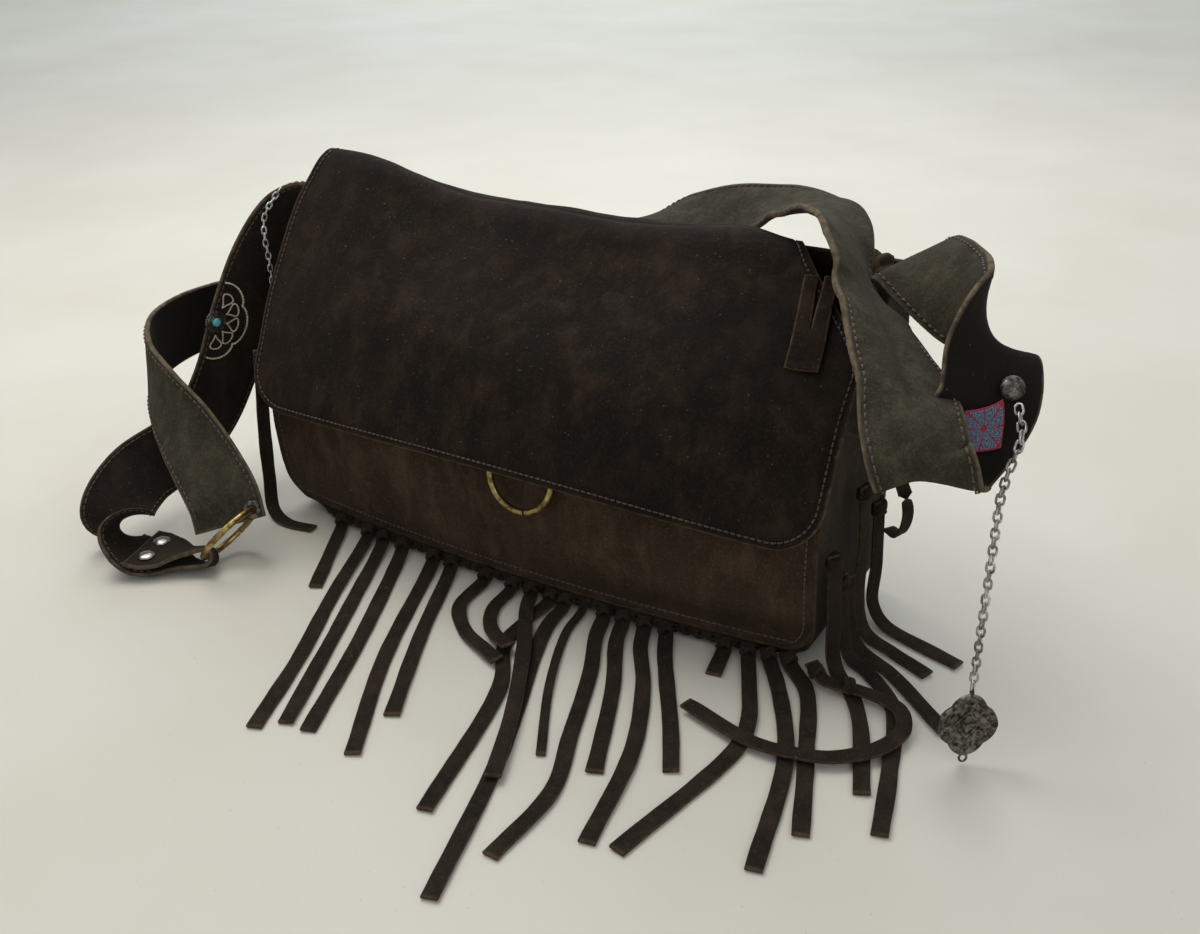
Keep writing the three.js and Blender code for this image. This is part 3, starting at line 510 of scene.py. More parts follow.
def rod(build, points, radius, sides=8, closed=False, **fields):
    """Round rod through points, open or a closed ring. radius is a number or one for each point."""
    points = np.asarray(points, float)
    if closed:
        along = unit(np.roll(points, -1, axis=0) - np.roll(points, 1, axis=0))
    else:
        along = unit(np.gradient(points, axis=0))
    side = np.cross(along[0], UP if abs(along[0] @ UP) < 0.9 else [1.0, 0, 0])
    rings = []
    angles = round_turn(sides)
    for p, t, r in zip(points, along, np.broadcast_to(radius, len(points))):
        side = unit(side - t * (side @ t))
        other = np.cross(t, side)
        rings.append(p + r * (np.cos(angles)[:, None] * side + np.sin(angles)[:, None] * other))
    build.add(np.vstack(rings), tube_faces(len(points), sides, closed), **fields)


def lathe(build, rows, matrix, segments=48, **fields):
    """Turned part: [radius, height] pairs round the matrix's Z axis, closed or from axis to axis."""
    on_axis = rows[0][0] == 0
    body = rows[1:-1] if on_axis else rows
    angles = round_turn(segments)
    rings = [np.stack([r * np.cos(angles), r * np.sin(angles), np.full(segments, h)], 1) for r, h in body]
    points = np.vstack(rings)
    faces = tube_faces(len(body), segments, closed=not on_axis, capped=False)
    if on_axis:
        top = len(points)
        points = np.vstack([points, [[0, 0, rows[0][1]], [0, 0, rows[-1][1]]]])
        last = (len(body) - 1) * segments
        faces += [(top, (j + 1) % segments, j) for j in range(segments)]
        faces += [(top + 1, last + j, last + (j + 1) % segments) for j in range(segments)]
    build.add(placed(points, matrix), faces, **fields)


def facing(position, direction, along=None):
    """Matrix in millimetres whose Z axis is a direction, and whose X axis leans towards along."""
    z = unit(direction)
    x = np.array(along if along is not None else ([1, 0, 0] if abs(z[0]) < 0.9 else [0, 1, 0]), float)
    x = unit(x - z * (x @ z))
    return matrix_of(np.stack([x, np.cross(z, x), z], 1), position)


# One stitch: the share of its length, how far the thread stands off there, and its share of the full radius.
STITCH = np.array([(0.06, -0.35, 0.45), (0.22, 0.5, 0.9), (0.5, 0.75, 1), (0.78, 0.5, 0.9),
                   (0.94, -0.35, 0.45)])
STITCHED = 0.86  # share of the pitch that a stitch takes up


def stitches(build, line, normals, pitch, size, lift=0.0):
    """Short thread capsules end to end along a line of points, their ends dipping into the leather."""
    line = np.asarray(line, float)
    normals = np.broadcast_to(normals, line.shape)
    lengths = lengths_along(line)
    share, height, radius = STITCH.T
    for start in np.arange(0, lengths[-1] - pitch, pitch):
        at = start + pitch * STITCHED * share
        off = unit(read_at(at, lengths, normals)) * (lift + size * height)[:, None]
        rod(build, read_at(at, lengths, line) + off, size * radius, sides=5)


# ---- pouch surfaces, as in the CAD
HALF = 159.0
SEAM_Z, PANEL_TOP_Z, BACK_TOP_Z, GUSSET_TOP_Z = 9.0, 164.0, 171.5, 160.0
PANEL_T, BORDER_T, GUSSET_T, SEAM_GAP = 2.0, 1.4, 2.0, 0.4


def depth_profile(rows):
    """Depth as a function of height, through [height, depth] rows."""
    samples = Route([[0, y, z] for z, y in rows]).samples
    return lambda z: np.interp(z, samples[:, 2], samples[:, 1])


front_depth = depth_profile([[2, -39], [9, -41], [30, -45], [60, -47], [80, -46], [100, -39.5], [125, -25],
                             [150, -9], [164, 1]])
back_depth = depth_profile([[2, 39], [50, 42], [110, 43], [150, 40], [184, 34]])


BELLY = 11  # how far the middle of the front stands out, low down


def front_y(x, z):
    return front_depth(z) - BELLY * (1 - (x / HALF) ** 2) * (1 - smooth(z, 70, 150))


def sag(x):
    """How far the top sinks, from the upright left corner towards the right."""
    return 16 * smooth(x, -150, -55) - 4 * np.exp(-(((x - 88) / 35) ** 2))


def panel_sink(x, z):
    """How far a point of the front goes down with the top."""
    return 0.85 * sag(x) * smooth(z, 105, PANEL_TOP_Z + 6)


def sunken_y(x, height):
    """Depth of the front at a height that it has after it has sunk."""
    z = height
    for _ in range(6):
        z = height + panel_sink(x, z)
    return front_y(x, np.minimum(z, PANEL_TOP_Z))


def half_width(z, low, width, radius):
    up = np.minimum(radius, z - low)
    return width - radius + np.sqrt(np.maximum(0, radius**2 - (radius - up) ** 2))


def panel_width(z):
    return half_width(z, SEAM_Z - 1.2, HALF, 18)


def panel_point(x, z):
    return np.stack([x, front_y(x, z), z - panel_sink(x, z)], -1)


STITCH_IN, STITCH_PITCH, STITCH_R, RUBBED_Z = 4.2, 3.1, 0.42, 19


def make_front_panel():
    """Front of the pouch with its stitched and turned edge, and the rubbed band above the lower seam."""
    def surface(u, v):
        z = SEAM_Z + (PANEL_TOP_Z - SEAM_Z) * v**1.25
        return panel_point(panel_width(z) * (2 * u - 1), z)

    def from_edge(points, u):
        z = points[..., 2]
        return np.minimum(panel_width(np.maximum(z, SEAM_Z)) * (1 - abs(2 * u - 1)), z - SEAM_Z)

    def relief(points, u, v):
        far = smooth(from_edge(points, u), 4, 30)
        soft = 1.6 * wobble(points, 70, 1) + 0.7 * wobble(points, 28, 2) + 0.25 * wobble(points, 11, 3)
        return (soft - 0.8) * far - 0.55 * np.exp(-((from_edge(points, u) - STITCH_IN) / 1.1) ** 2)

    def shade(points, u, v):
        band = np.exp(-((points[..., 2] - RUBBED_Z - 3 * wobble(points, 40, 5)) / 6.0) ** 2)
        worn = 0.5 * smooth(points[..., 0], -40, 90) * band
        return np.clip(worn + 0.35 * np.exp(-from_edge(points, u) / 2.2), 0, 1)

    build = Build()
    sheet(build, surface, 150, 72, PANEL_T, (0, -1, 0), relief, shade)
    build.piece("front_panel_suede", suede_panel, replaces=["front_panel"])
    z = SEAM_Z + (150 - SEAM_Z) * np.linspace(1, 0, 120) ** 1.6
    left, right = panel_point(-panel_width(z), z), panel_point(panel_width(z), z)[::-1]
    x = np.linspace(left[-1, 0], right[0, 0], 160)[1:-1]
    line = np.vstack([left, panel_point(x, SEAM_Z + 0 * x), right])
    seam = Build()
    welt = line + [0, PANEL_T * 0.4, -0.7]
    # The paler edge colour laid round the welt (edge=0.45) is a painted highlight along the seam.
    rod(seam, welt, 1.15 + 0.15 * wobble(welt, 9, 4), edge=0.45, inside=0, shade=0)
    seam.piece("front_panel_welt", suede_dark, slot="dark_suede")
    x, z = line[:, 0] * (1 - STITCH_IN / HALF), np.maximum(line[:, 2], SEAM_Z + STITCH_IN)
    sewn = Build()
    stitches(sewn, np.stack([x, front_y(x, z + panel_sink(x, z)) + 0.35, z], 1), [0, -1.0, 0.1], STITCH_PITCH,
             STITCH_R)
    sewn.piece("front_panel_stitching", thread_brown)


def make_back_panel():
    def surface(u, v):
        z = SEAM_Z + (BACK_TOP_Z - SEAM_Z) * v**1.1
        return np.stack([panel_width(z) * (2 * u - 1), back_depth(z), z], -1)

    def relief(points, u, v):
        far = smooth(np.minimum(HALF * (1 - abs(2 * u - 1)), 160 * v), 3, 26)
        return (1.1 * wobble(points, 60, 6) + 0.4 * wobble(points, 22, 7) - 0.9) * far

    build = Build()
    sheet(build, surface, 120, 64, PANEL_T, (0, 1, 0), relief)
    build.piece("back_panel_suede", suede_panel, replaces=["back_panel"])
    sewn = Build()
    x, z = np.linspace(-150, 150, 80), np.linspace(150, 15, 60)
    rows = [(side * (panel_width(z) - 4), z) for side in (-1, 1)]
    rows += [(x, level + 0 * x) for level in (13.5, 164.0)]
    for x, z in rows:
        stitches(sewn, np.stack([x, back_depth(z) + 0.1, z], 1), [0, 1.0, 0], 3.3, STITCH_R)
    sewn.piece("back_panel_stitching", thread_brown)


def gusset_line():
    """x and z of the gusset's outer face, from the left top down, across the base and up the right side."""
    w, r = HALF - 1, 20.0  # half the width, and the corners' reach
    t = np.linspace(0, 1, 13)[1:-1, None]
    bend = (1 - t) ** 2 * [-w, r] + 2 * t * (1 - t) * np.array([-w, 0]) + t**2 * [-w + r, 0]
    left = np.vstack([np.stack([np.full(40, -w), np.linspace(GUSSET_TOP_Z, r, 40)], 1), bend])
    base = np.stack([np.linspace(-w + r, w - r, 70), np.zeros(70)], 1)
    return np.vstack([left, base, (left * [-1, 1])[::-1]])


def make_gusset():
    line = gusset_line()
    lengths = lengths_along(line)
    along = unit(np.gradient(line, axis=0))
    layers = PANEL_T + BORDER_T + 2 * SEAM_GAP

    def surface(u, v):
        x, z = read_at(u * lengths[-1], lengths, line).T
        ax, az = read_at(u * lengths[-1], lengths, along).T
        level = np.maximum(z, 2)
        front = sunken_y(x, level) + layers + 0.4
        back = back_depth(level) - PANEL_T - SEAM_GAP
        pull = 0.16 * (back - front) * smooth(level, 40, 160) * np.sin(np.pi * v)
        return np.stack([x - az * pull, front + (back - front) * v, z + ax * pull], -1)

    def relief(points, u, v):
        return 0.9 * (wobble(points, 20, 8) - 0.6) * smooth(points[..., 2], 6, 40) * np.sin(np.pi * v)

    build = Build()
    sheet(build, surface, 190, 26, GUSSET_T, (0, 0, -1), relief)
    build.piece("gusset_suede", suede_dark, slot="dark_suede", replaces=["gusset"])


def make_border():
    """Scalloped border that peeps out under the seam, with a small disc of painted shade standing for the
    punched hole behind each scallop.
    """
    count = round((2 * HALF - 24) / 6.6)

    def surface(u, v):
        x = (HALF - 12) * (2 * u - 1)
        rise = 9 * smooth(abs(x), HALF - 26, HALF - 12)
        scallop = 1.9 * abs(np.sin(np.pi * count * u)) ** 0.7
        z = (3.2 + 1.5 - scallop) * (1 - v) + 15 * v + rise
        flare = -5.5 * (1 - smooth(v, 0.0, 0.55)) * (1 - smooth(abs(x), 120, 146))
        return np.stack([x, front_y(x, np.maximum(z, 4)) + PANEL_T + SEAM_GAP + flare, z], -1)

    build = Build()
    sheet(build, surface, count * 8, 8, BORDER_T, (0, -1, 0), lambda p, u, v: 0.5 * wobble(p, 8, 9) * (1 - v))
    for i in range(count):
        u = (i + 0.5) / count
        spot = surface(np.array([u, u + 0.001, u]), np.array([0.2, 0.2, 0.22]))
        normal = unit(np.cross(spot[1] - spot[0], spot[2] - spot[0]))
        normal *= -np.sign(normal[1])
        # Each punched hole is a small disc darkened fully by shade=1.0: painted shade where the opening would
        # be.
        lathe(build, [[0, 0.16], [0.75, 0.16], [0.95, 0.02], [0.95, -0.2], [0, -0.2]],
              facing(spot[0] + normal * 0.12, normal), 10, edge=0, inside=0, shade=1.0)
    build.piece("border_scallops", suede_dark, slot="dark_suede", replaces=["front_border"])


# ---- flap
FLAP_T, FLAP_LEFT, FLAP_RIGHT, FLAP_CORNER = 1.5, -162.0, 163.5, 22.0
HINGE_EDGE, CREST_RISE, CREST_S = (34.5, 171.5), 18.0, 0.115
FLAP_STITCH_IN = 3.0
FLAP_LOW, FLAP_BOW = 0.955, 0.035  # share of the route at the lower corners, and the bow between them
flap_line = Route([[0, y, z] for y, z in (
    HINGE_EDGE, (33.4, 179), (30, 186), (22, 189.5), (14, 186.5), (5, 178), (-5, 167.5), (-18, 150),
    (-34, 125), (-46, 101), (-54, 84), (-57, 72), (-57.5, 62))])


def flap_face(x, s):
    s = np.clip(s, 0, 1)
    p = flap_line.along(s)
    back = (p[:, 2] - HINGE_EDGE[1]) * sag(x) / CREST_RISE
    sink = np.where(s < CREST_S, back, sag(x) * smooth(p[:, 2], 110, HINGE_EDGE[1] + CREST_RISE))
    bulge = 14 * (1 - (x / 165) ** 2) * smooth(s, 0.25, 0.66)
    return np.stack([x, p[:, 1] - bulge, p[:, 2] - sink], -1)


def flap_out(x, s):
    step = 0.004
    along = flap_face(x, np.minimum(1, s + step)) - flap_face(x, np.maximum(0, s - step))
    return unit(np.stack([0 * x, along[:, 2], -along[:, 1]], -1))


def flap_point(x, s, lift):
    return flap_face(x, s) + flap_out(x, s) * np.reshape(lift, (-1, 1))


def flap_outline(u, v, trim=0.0):
    """x, and the share of the flap's length from the hinge, at u across and v down."""
    s = v * (FLAP_LOW - FLAP_BOW * np.cos((2 * u - 1) * np.pi / 2) - 0.006 * trim)
    low = (1 - v) * flap_line.length
    corner = FLAP_CORNER - np.sqrt(np.maximum(0, FLAP_CORNER**2 - (FLAP_CORNER - low) ** 2))
    pull = np.where(low < FLAP_CORNER, corner, 0)
    high = s * flap_line.length
    left = FLAP_LEFT + pull + 5 * (1 - smooth(high, 0, 70)) + trim
    right = FLAP_RIGHT - pull - 52 * (1 - smooth(high, 4, 90)) - trim
    return left + (right - left) * u, s


def flap_edge(inset):
    """The flap's left, lower and right edge as x and distance from the hinge, moved in from the edge."""
    v = 1 - np.linspace(1, 0, 240) ** 2
    u = np.linspace(0, 1, 260)
    runs = [(0 * v, v), (u, 1 + 0 * u), (1 + 0 * v, v[::-1])]
    flat = np.vstack([np.stack(flap_outline(*run), 1) for run in runs]) * [1, flap_line.length]
    keep = np.concatenate([[True], np.linalg.norm(np.diff(flat, axis=0), axis=1) > 0.15])
    flat = flat[keep]
    ahead = unit(np.gradient(flat, axis=0))
    return flat + inset * np.stack([ahead[:, 1], -ahead[:, 0]], 1)


def make_flap():
    """Two suede layers sewn together round the edge, draped over the top of the pouch."""
    cut = flap_edge(0.0)
    edge = {}  # how far the points of the outer layer are from the cut edge

    def relief(points, u, v):
        x, s = flap_outline(u.ravel(), v.ravel())
        nearest = [np.sqrt(((cut - q) ** 2).sum(1).min()) for q in np.stack([x, s * flap_line.length], 1)]
        edge["far"] = np.array(nearest).reshape(u.shape)
        far = smooth(edge["far"], 4, 34)
        soft = 1.5 * wobble(points, 75, 10) + 0.8 * wobble(points, 34, 11) + 0.22 * wobble(points, 12, 12)
        return (soft + 0.6) * far - 0.5 * np.exp(-((edge["far"] - FLAP_STITCH_IN) / 0.9) ** 2)

    def shade(points, u, v):
        stain = smooth(wobble(points, 55, 13), 0.05, 0.7) * 0.35
        return np.clip(stain + 0.4 * np.exp(-((edge["far"] - FLAP_STITCH_IN) / 1.0) ** 2), 0, 1)

    build = Build()
    sheet(build, lambda u, v: flap_point(*flap_outline(u, v), 0), 170, 120, FLAP_T, (0, -1, 0), relief, shade,
          edges=(0.003, 0.004))
    flap = build.piece("flap_suede", suede_flap, body="flap_body", replaces=["flap"])
    lining = Build()
    sheet(lining, lambda u, v: flap_point(*flap_outline(u, v, 0.5), -FLAP_T - 0.25), 110, 80, FLAP_T,
          (0, -1, 0))
    lining_piece = lining.piece("flap_lining_suede", suede_dark, body="flap_body", slot="dark_suede",
                                replaces=["flap_lining"])
    sewn = Build()
    x, share = (flap_edge(FLAP_STITCH_IN)[8:-8] / [1, flap_line.length]).T
    stitches(sewn, flap_point(x, share, -0.32), flap_out(x, share), 3.0, STITCH_R)
    stitching = sewn.piece("flap_stitching", thread_brown, body="flap_body")


def make_flap_tab():
    """Thong end that lies on the flap near its right edge: slit down the middle from its top, torn below."""
    middle = [(132.5, 0.22), (134, 0.28), (136, 0.35), (138, 0.43), (139, 0.5)]
    band = Band([[*flap_point(np.array([x]), np.array([s]), 1.5)[0], 1, 0, 0] for x, s in middle], 15, 1.4)
    last, rows, half, slit_end = len(middle) - 1, 72, 7, 2.35
    ids, points, edge, faces = {}, [], [], []

    def corner(row, column, side, top):
        """The outer edge is column 0 and the middle is column half; below the slit both halves share it."""
        index = last * row / rows
        joined = column == half and index >= slit_end
        key = (row, column, 0 if joined else side, top)
        if key not in ids:
            share = column / half
            inner = 0.25 + 1.1 * (1 - smooth(index, 0.2, slit_end)) if index < slit_end else 0
            across = side * (band.width / 2 * (1 - share) + inner * share)
            torn = 0.16 * noise.noise(Vector((across * 0.7, 3, 7))) * smooth(index, 3.5, last)
            rim = column == 0 or row in (0, rows) or (column == half and not joined)
            lift = (1 if top else -1) * band.thickness / 2 * (0.45 if rim else 1)
            lift += 0.35 * math.sin(1.9 * index + across * 0.2)
            ids[key] = len(points)
            points.append(band.spot(min(last, max(0, index + torn)), across, lift)[0][0])
            edge.append(0.9 if rim else 0.0)
        return ids[key]

    def quad(side, *corners):
        faces.append([corner(row, column, side, top) for row, column, top in corners])

    for side in (-1, 1):
        for r in range(rows):
            for c in range(half):
                for top in (True, False):
                    quad(side, (r, c, top), (r + 1, c, top), (r + 1, c + 1, top), (r, c + 1, top))
            slit_here = last * r / rows < slit_end
            for c in (0, half) if slit_here else (0,):
                quad(side, (r, c, True), (r + 1, c, True), (r + 1, c, False), (r, c, False))
        for r in (0, rows):
            for c in range(half):
                quad(side, (r, c, True), (r, c + 1, True), (r, c + 1, False), (r, c, False))
    flat = np.zeros(len(points))
    piece("flap_tab_suede", points, faces, suede_flap, body="flap_body", replaces=["flap_tab"],
          fields={"edge": edge, "inside": flat, "shade": flat})


# ---- rings, tab and eyelet
RING_R, RING_WIRE_R = 17.6, 1.65
FLAP_RING = np.array([15, -60.3, 71.5])
STRAP_RING = np.array([-141, -106, 18.8])
ring_up = unit([0.439, 0.657, 0.609])
across_ring = unit([0.468, -0.749, 0.469])


def split_ring(name, matrix, body, node_name):
    """Ring bent from round wire, its cut ends almost touching, with two crimp marks beside the cut."""
    gap = 0.8 / RING_R
    angles = -math.pi / 2 + gap / 2 + np.linspace(0, 2 * math.pi - gap, 121)
    circle = RING_R * np.stack([np.cos(angles), 0 * angles, np.sin(angles)], 1)
    dent = 1 - 0.12 * np.exp(-((np.minimum(angles - angles[0], angles[-1] - angles) - 0.16) / 0.03) ** 2)
    build = Build()
    rod(build, placed(circle, matrix), RING_WIRE_R * dent, sides=18)
    build.piece(name, brass, body=body, slot="antique_brass", replaces=[node_name], sharp=50)


def make_rings():
    split_ring("flap_ring_brass", matrix_of(turned(-10, "X") @ turned(-12, "Y"), FLAP_RING), "flap_ring_body",
               "flap_ring")
    turn = np.stack([ring_up, np.cross(across_ring, ring_up), across_ring], 1)
    split_ring("strap_ring_brass", matrix_of(turn, STRAP_RING), "strap_ring_body", "strap_ring")


def make_ring_tab():
    """Leather loop that holds the flap's ring, both its ends sewn into the flap's lower edge."""
    lean = math.radians(10)
    top = FLAP_RING + RING_R * np.array([0, math.sin(lean), math.cos(lean)])
    slope, out = np.array([0, 0.456, 0.89]), np.array([0, -0.89, 0.456])
    bend = [(-3 * math.sin(a), 3 * math.cos(a)) for a in np.linspace(0, math.pi, 5)]
    route = [(13, 2.4), (5, 2.8), *bend, (5, -2.7), (9, -2)]
    build = Build()
    strip(build, Band([[*(top + slope * up + out * off), 1, 0, 0] for up, off in route], 8, 1.1), 60)
    build.piece("ring_tab_suede", suede_dark, body="flap_body", slot="dark_suede", replaces=["flap_ring_tab"])


# ---- straps
STRAP_WIDTH = 38.0
fold_at = STRAP_RING - ring_up * RING_R
fold_out, fold_up = np.array([0.848, 0.53, 0]), np.array([-0.249, 0.398, 0.883])
fold_turn = [[*(fold_at + 4.3 * (fold_out * math.sin(a) - fold_up * math.cos(a))), *across_ring, 0.3]
             for a in np.linspace(0, math.pi, 5)]
short_route = [
    [-160.8, 25, 138, 0, 1, 0, 1], [-161, 25, 152, 0, 1, 0, 1], [-165, 25, 163, 0, 1, -0.05, 1],
    [-172, 19, 167, -0.1, 1, -0.15, 1], [-182, 9, 158, 0.1, 1, -0.2, 1], [-192, -6, 134, 0.25, 1, -0.25, 1],
    [-198, -23, 103, 0.3, 1, -0.3, 1], [-203, -38, 70, 0.3, 1, -0.35, 1], [-209, -54, 46, 0.3, 1, -0.4, 1],
    [-214, -76, 35, 0.35, 0.6, -0.7, 1], [-214, -100, 31, 0.6, 0.1, -0.8, 1],
    [-208, -121, 23, 0.75, -0.25, -0.6, 1],
    [-199, -130, 14, 0.7, -0.6, -0.2, 1], [-190, -130.5, 7.4, 0.6, -0.8, 0, 1],
    [-181, -128.4, 3.9, 0.52, -0.85, 0, 0.95], [-170, -125, 3.2, 0.5, -0.86, 0, 0.75],
    [-158, -122.5, 3.9, 0.48, -0.83, 0.25, 0.4], *fold_turn, [-158, -121, 10.4, 0.48, -0.83, 0.25, 0.4],
    [-168, -124, 8.6, 0.5, -0.86, 0, 0.7], [-177, -126.8, 8.3, 0.52, -0.85, 0, 0.9],
    [-184.5, -129.2, 9, 0.52, -0.85, 0, 0.95],
]
long_route = [
    [-141.3, -104, 22.4, 0.763, 0.61, 0.212], [-147.5, -100.4, 34.4, 0.763, 0.61, 0.212],
    [-161, -96, 47, 0.8, 0.55, 0.3], [-180, -90, 60, 0.7, 0.45, 0.6], [-203, -82, 71, 0.45, 0.2, 0.85],
    [-226, -69, 80, 0.2, 0, 1], [-239, -50, 86, 0, 0, 1], [-241, -30, 89, 0, 0, 1], [-237, -9, 90, 0, 0, 1],
    [-226, 12, 91, 0, 0, 1], [-205, 34, 94, 0, 0, 1], [-180, 48, 98, 0, 0, 1], [-148, 54, 104, 0, -0.05, 1],
    [-100, 53, 122, 0, -0.05, 1], [-50, 56, 144, 0, -0.4, 0.9], [0, 60, 158, 0, -0.9, 0.4],
    [34, 62, 167, 0, -0.9, -0.3],
    [60, 61, 173.5, 0.05, -0.86, -0.42], [86, 57, 179, 0.05, -0.9, -0.3], [108, 46, 184.5, 0.1, -0.97, 0.08],
    [125, 30, 188, 0.1, -0.97, 0.15], [137.5, 12.5, 187, 0.12, -0.96, 0.2],
    [147.5, -3, 182, 0.12, -0.96, 0.25], [158, -15, 173.5, 0.1, -0.96, 0.25],
    [170, -29, 169, 0, -0.97, 0.22], [183, -46, 163.5, -0.2, -0.96, 0.12],
    [196, -64, 157.5, -0.42, -0.88, 0], [206.5, -83, 149, -0.72, -0.62, -0.25],
    [212, -88, 140, -0.8, -0.55, -0.2], [214.5, -79, 133.5, -0.99, 0.05, 0],
    [216, -69, 137, -0.88, -0.37, 0.29], [221, -60, 145, -0.88, -0.4, 0.25],
    [224, -54, 154, -0.87, -0.44, 0.2], [222.5, -47, 164, -0.86, -0.34, 0.34],
    [218, -38, 173, -0.66, 0.02, 0.74], [211, -26, 176.5, 0, 0, 1], [199, -13, 177.5, 0.5, 0.15, 0.82],
    [184.5, 0.5, 180, 0.65, 0.35, 0.62], [172, 12, 180, 0.68, 0.6, 0.4], [165, 19.5, 173, 0.4, 0.9, 0.15],
    [162.4, 23, 165, 0, 1, 0], [161, 24, 153, 0, 1, 0], [160.9, 24, 140, 0, 1, 0],
]
short_band = Band(short_route, STRAP_WIDTH, 2.4)
long_band = Band(long_route, STRAP_WIDTH, 3.0)
LOOP_INDEX = len(long_route) - 11.3  # where the chain is hung
long_inner = -np.sign(long_band.frames(LOOP_INDEX)[2][0, 1])  # side of the strap that is bare suede


def edge_stitching(build, band, ends, across, lift, steps):
    index = np.linspace(*ends, steps)
    points, _, face = band.spot(index, across * band.frames(index)[3], lift)
    stitches(build, points, face * np.sign(lift), 3.6, 0.4)


def make_long_strap():
    """Long strap: skin side out, bare suede inside, a row of stitching along both edges."""
    def shape(index, across):
        bend = 0.3 * np.sin(index * 1.7 + across) * across**2
        crease = 2.2 * np.exp(-((across + 0.1) / 0.16) ** 2)
        crease = crease * smooth(index, 22.5, 24) * (1 - smooth(index, 26, 27.5))
        groove = 0.25 * np.exp(-((abs(across) - 0.86) / 0.03) ** 2)
        over_flap = 0.9 * smooth(index, 17.5, 19) * (1 - smooth(index, 24, 25.5))
        arch = 1.1 * (1 - across**2) * smooth(index, 3, 6)
        return -long_inner * (arch + over_flap + bend - groove - crease)

    build = Build()
    strip(build, long_band, 560, shape, columns=26, inside_sign=long_inner)
    build.piece("long_strap_leather", strap_skin, slot="strap_leather", replaces=["long_strap"])
    sewn = Build()
    for across in (-16.4, 16.4):
        edge_stitching(sewn, long_band, (0.5, len(long_route) - 1.3), across, -long_inner * 1.75, 900)
    sewn.piece("long_strap_stitching", thread_brown, slot="strap_leather")


def make_short_strap():
    def shape(index, across):
        return 0.35 * np.sin(index * 2.1 + 2 * across) * across**2 * smooth(index, 3, 5)

    build = Build()
    strip(build, short_band, 330, shape, columns=20)
    build.piece("short_strap_suede", suede_short, slot="dark_suede", replaces=["short_strap"])
    sewn = Build()
    for across in (-16.6, 16.6):
        for lift in (-1.3, 1.3):
            edge_stitching(sewn, short_band, (1, 15), across, lift, 500)
    sewn.piece("short_strap_stitching", thread_brown, slot="dark_suede")


def turned_part(name, rows, matrix, segments, look=pewter, slot="pewter", replaces=(), sharp=40):
    build = Build()
    lathe(build, rows, matrix, segments)
    build.piece(name, look, slot=slot, replaces=replaces, sharp=sharp)


def make_eyelet():
    seat, hole, barrel, flange = 1.7, 2.6, 3.1, 4.6
    top = seat + 0.9
    half = [[barrel, seat], [flange, seat], [flange, top - 0.4], [flange - 0.4, top], [hole, top]]
    rows = [[r, -h] for r, h in half[::-1]] + half
    turned_part("eyelet_rolled", rows, facing(STRAP_RING + ring_up * RING_R, across_ring), 40,
                replaces=["strap_eyelet"])


def on_band(band, index, across, side=None):
    """A point on a strap and its face direction, turned to a side of the strap or else upwards."""
    point, _, face = band.spot(index, across)
    return point[0], face[0] * (np.sign(face[0, 2]) if side is None else side)


def make_rivets():
    rows = [[0, 0], [4.2, 0], [4.3, 0.3], [4.1, 0.6], [3.3, 1.05], [2.4, 1.3], [1.4, 1.45], [0.6, 1.5],
            [0, 1.5]]
    for name, across in (("rivet_front", 7.5), ("rivet_back", -7.5)):
        point, up = on_band(short_band, len(short_route) - 2, across)
        turned_part(name + "_domed", rows, facing(point + up * 1.6, up), 36, silver, "silver_metal", [name])


# ---- trim on the straps
CONCHO_INDEX, CONCHO_ACROSS = 6.2, -15.5
concho_side = np.sign(short_band.frames(CONCHO_INDEX)[2][0, 0])


def make_concho():
    """Round antique disc on the short strap: beaded rim, groove and cup, with a turquoise cabochon."""
    point, out = on_band(short_band, CONCHO_INDEX, CONCHO_ACROSS, concho_side)
    matrix = facing(point + out * 1.8, out)
    build = Build()
    lathe(build, [[0, 0], [5.7, 0], [6.1, 0.35], [6.1, 0.7], [5.7, 0.95], [5.0, 0.9], [4.4, 1.0], [4.2, 1.3],
                  [3.5, 1.3], [3.3, 1.9], [3.0, 2.0], [2.75, 1.9], [2.6, 1.2], [0, 1.2]], matrix, 60)
    for angle in round_turn(26):
        bead = placed([5.35 * math.cos(angle), 5.35 * math.sin(angle), 0.85], matrix)
        lathe(build, [[0, 0.55], [0.3, 0.48], [0.5, 0.2], [0.5, -0.2], [0, -0.3]], facing(bead, out), 10)
    build.piece("concho_beaded", pewter, slot="pewter", replaces=["concho"], sharp=50)
    dome = [[2.5 * math.cos(a), 1.6 + 1.5 * math.sin(a)] for a in np.linspace(0, math.pi / 2, 10)[:-1]]
    turned_part("turquoise_dome", [[0, 1.25], *dome, [0, 3.1]], matrix, 40, stone, "turquoise",
                ["turquoise_cabochon"], None)


def make_embroidery():
    """Half a flower round the concho: pale green scallops outside, five cream petals inside."""
    route = short_band.route
    start = np.interp(CONCHO_INDEX, route.index, route.lengths)

    def sew(build, turn, radius, *stitch):
        """Stitches at a turn and radius round the concho; turn 0 is across the strap, away from its edge."""
        index = route.index_at(start + radius * np.sin(turn) * 1.12)
        points, _, face = short_band.spot(index, CONCHO_ACROSS + radius * np.cos(turn), concho_side * 1.25)
        stitches(build, points, face * concho_side, *stitch)

    green, cream = Build(), Build()
    turn = np.linspace(-1.62, 1.62, 260)
    sew(green, turn, 16.2 + 3.2 * abs(np.cos(turn * 5 / 2)) ** 0.5, 1.7, 0.62, 0.15)
    loop = np.linspace(0, 1, 60)
    for middle in np.linspace(-1.26, 1.26, 5):
        sew(cream, middle - 0.27 * np.sin(2 * math.pi * loop), 6.8 + 7.4 * np.sin(math.pi * loop) ** 0.8,
            1.5, 0.5, 0.12)
    green.piece("embroidery_outer", thread_lime, slot="woven_cloth")
    cream.piece("embroidery_petals", thread_cream, slot="woven_cloth")


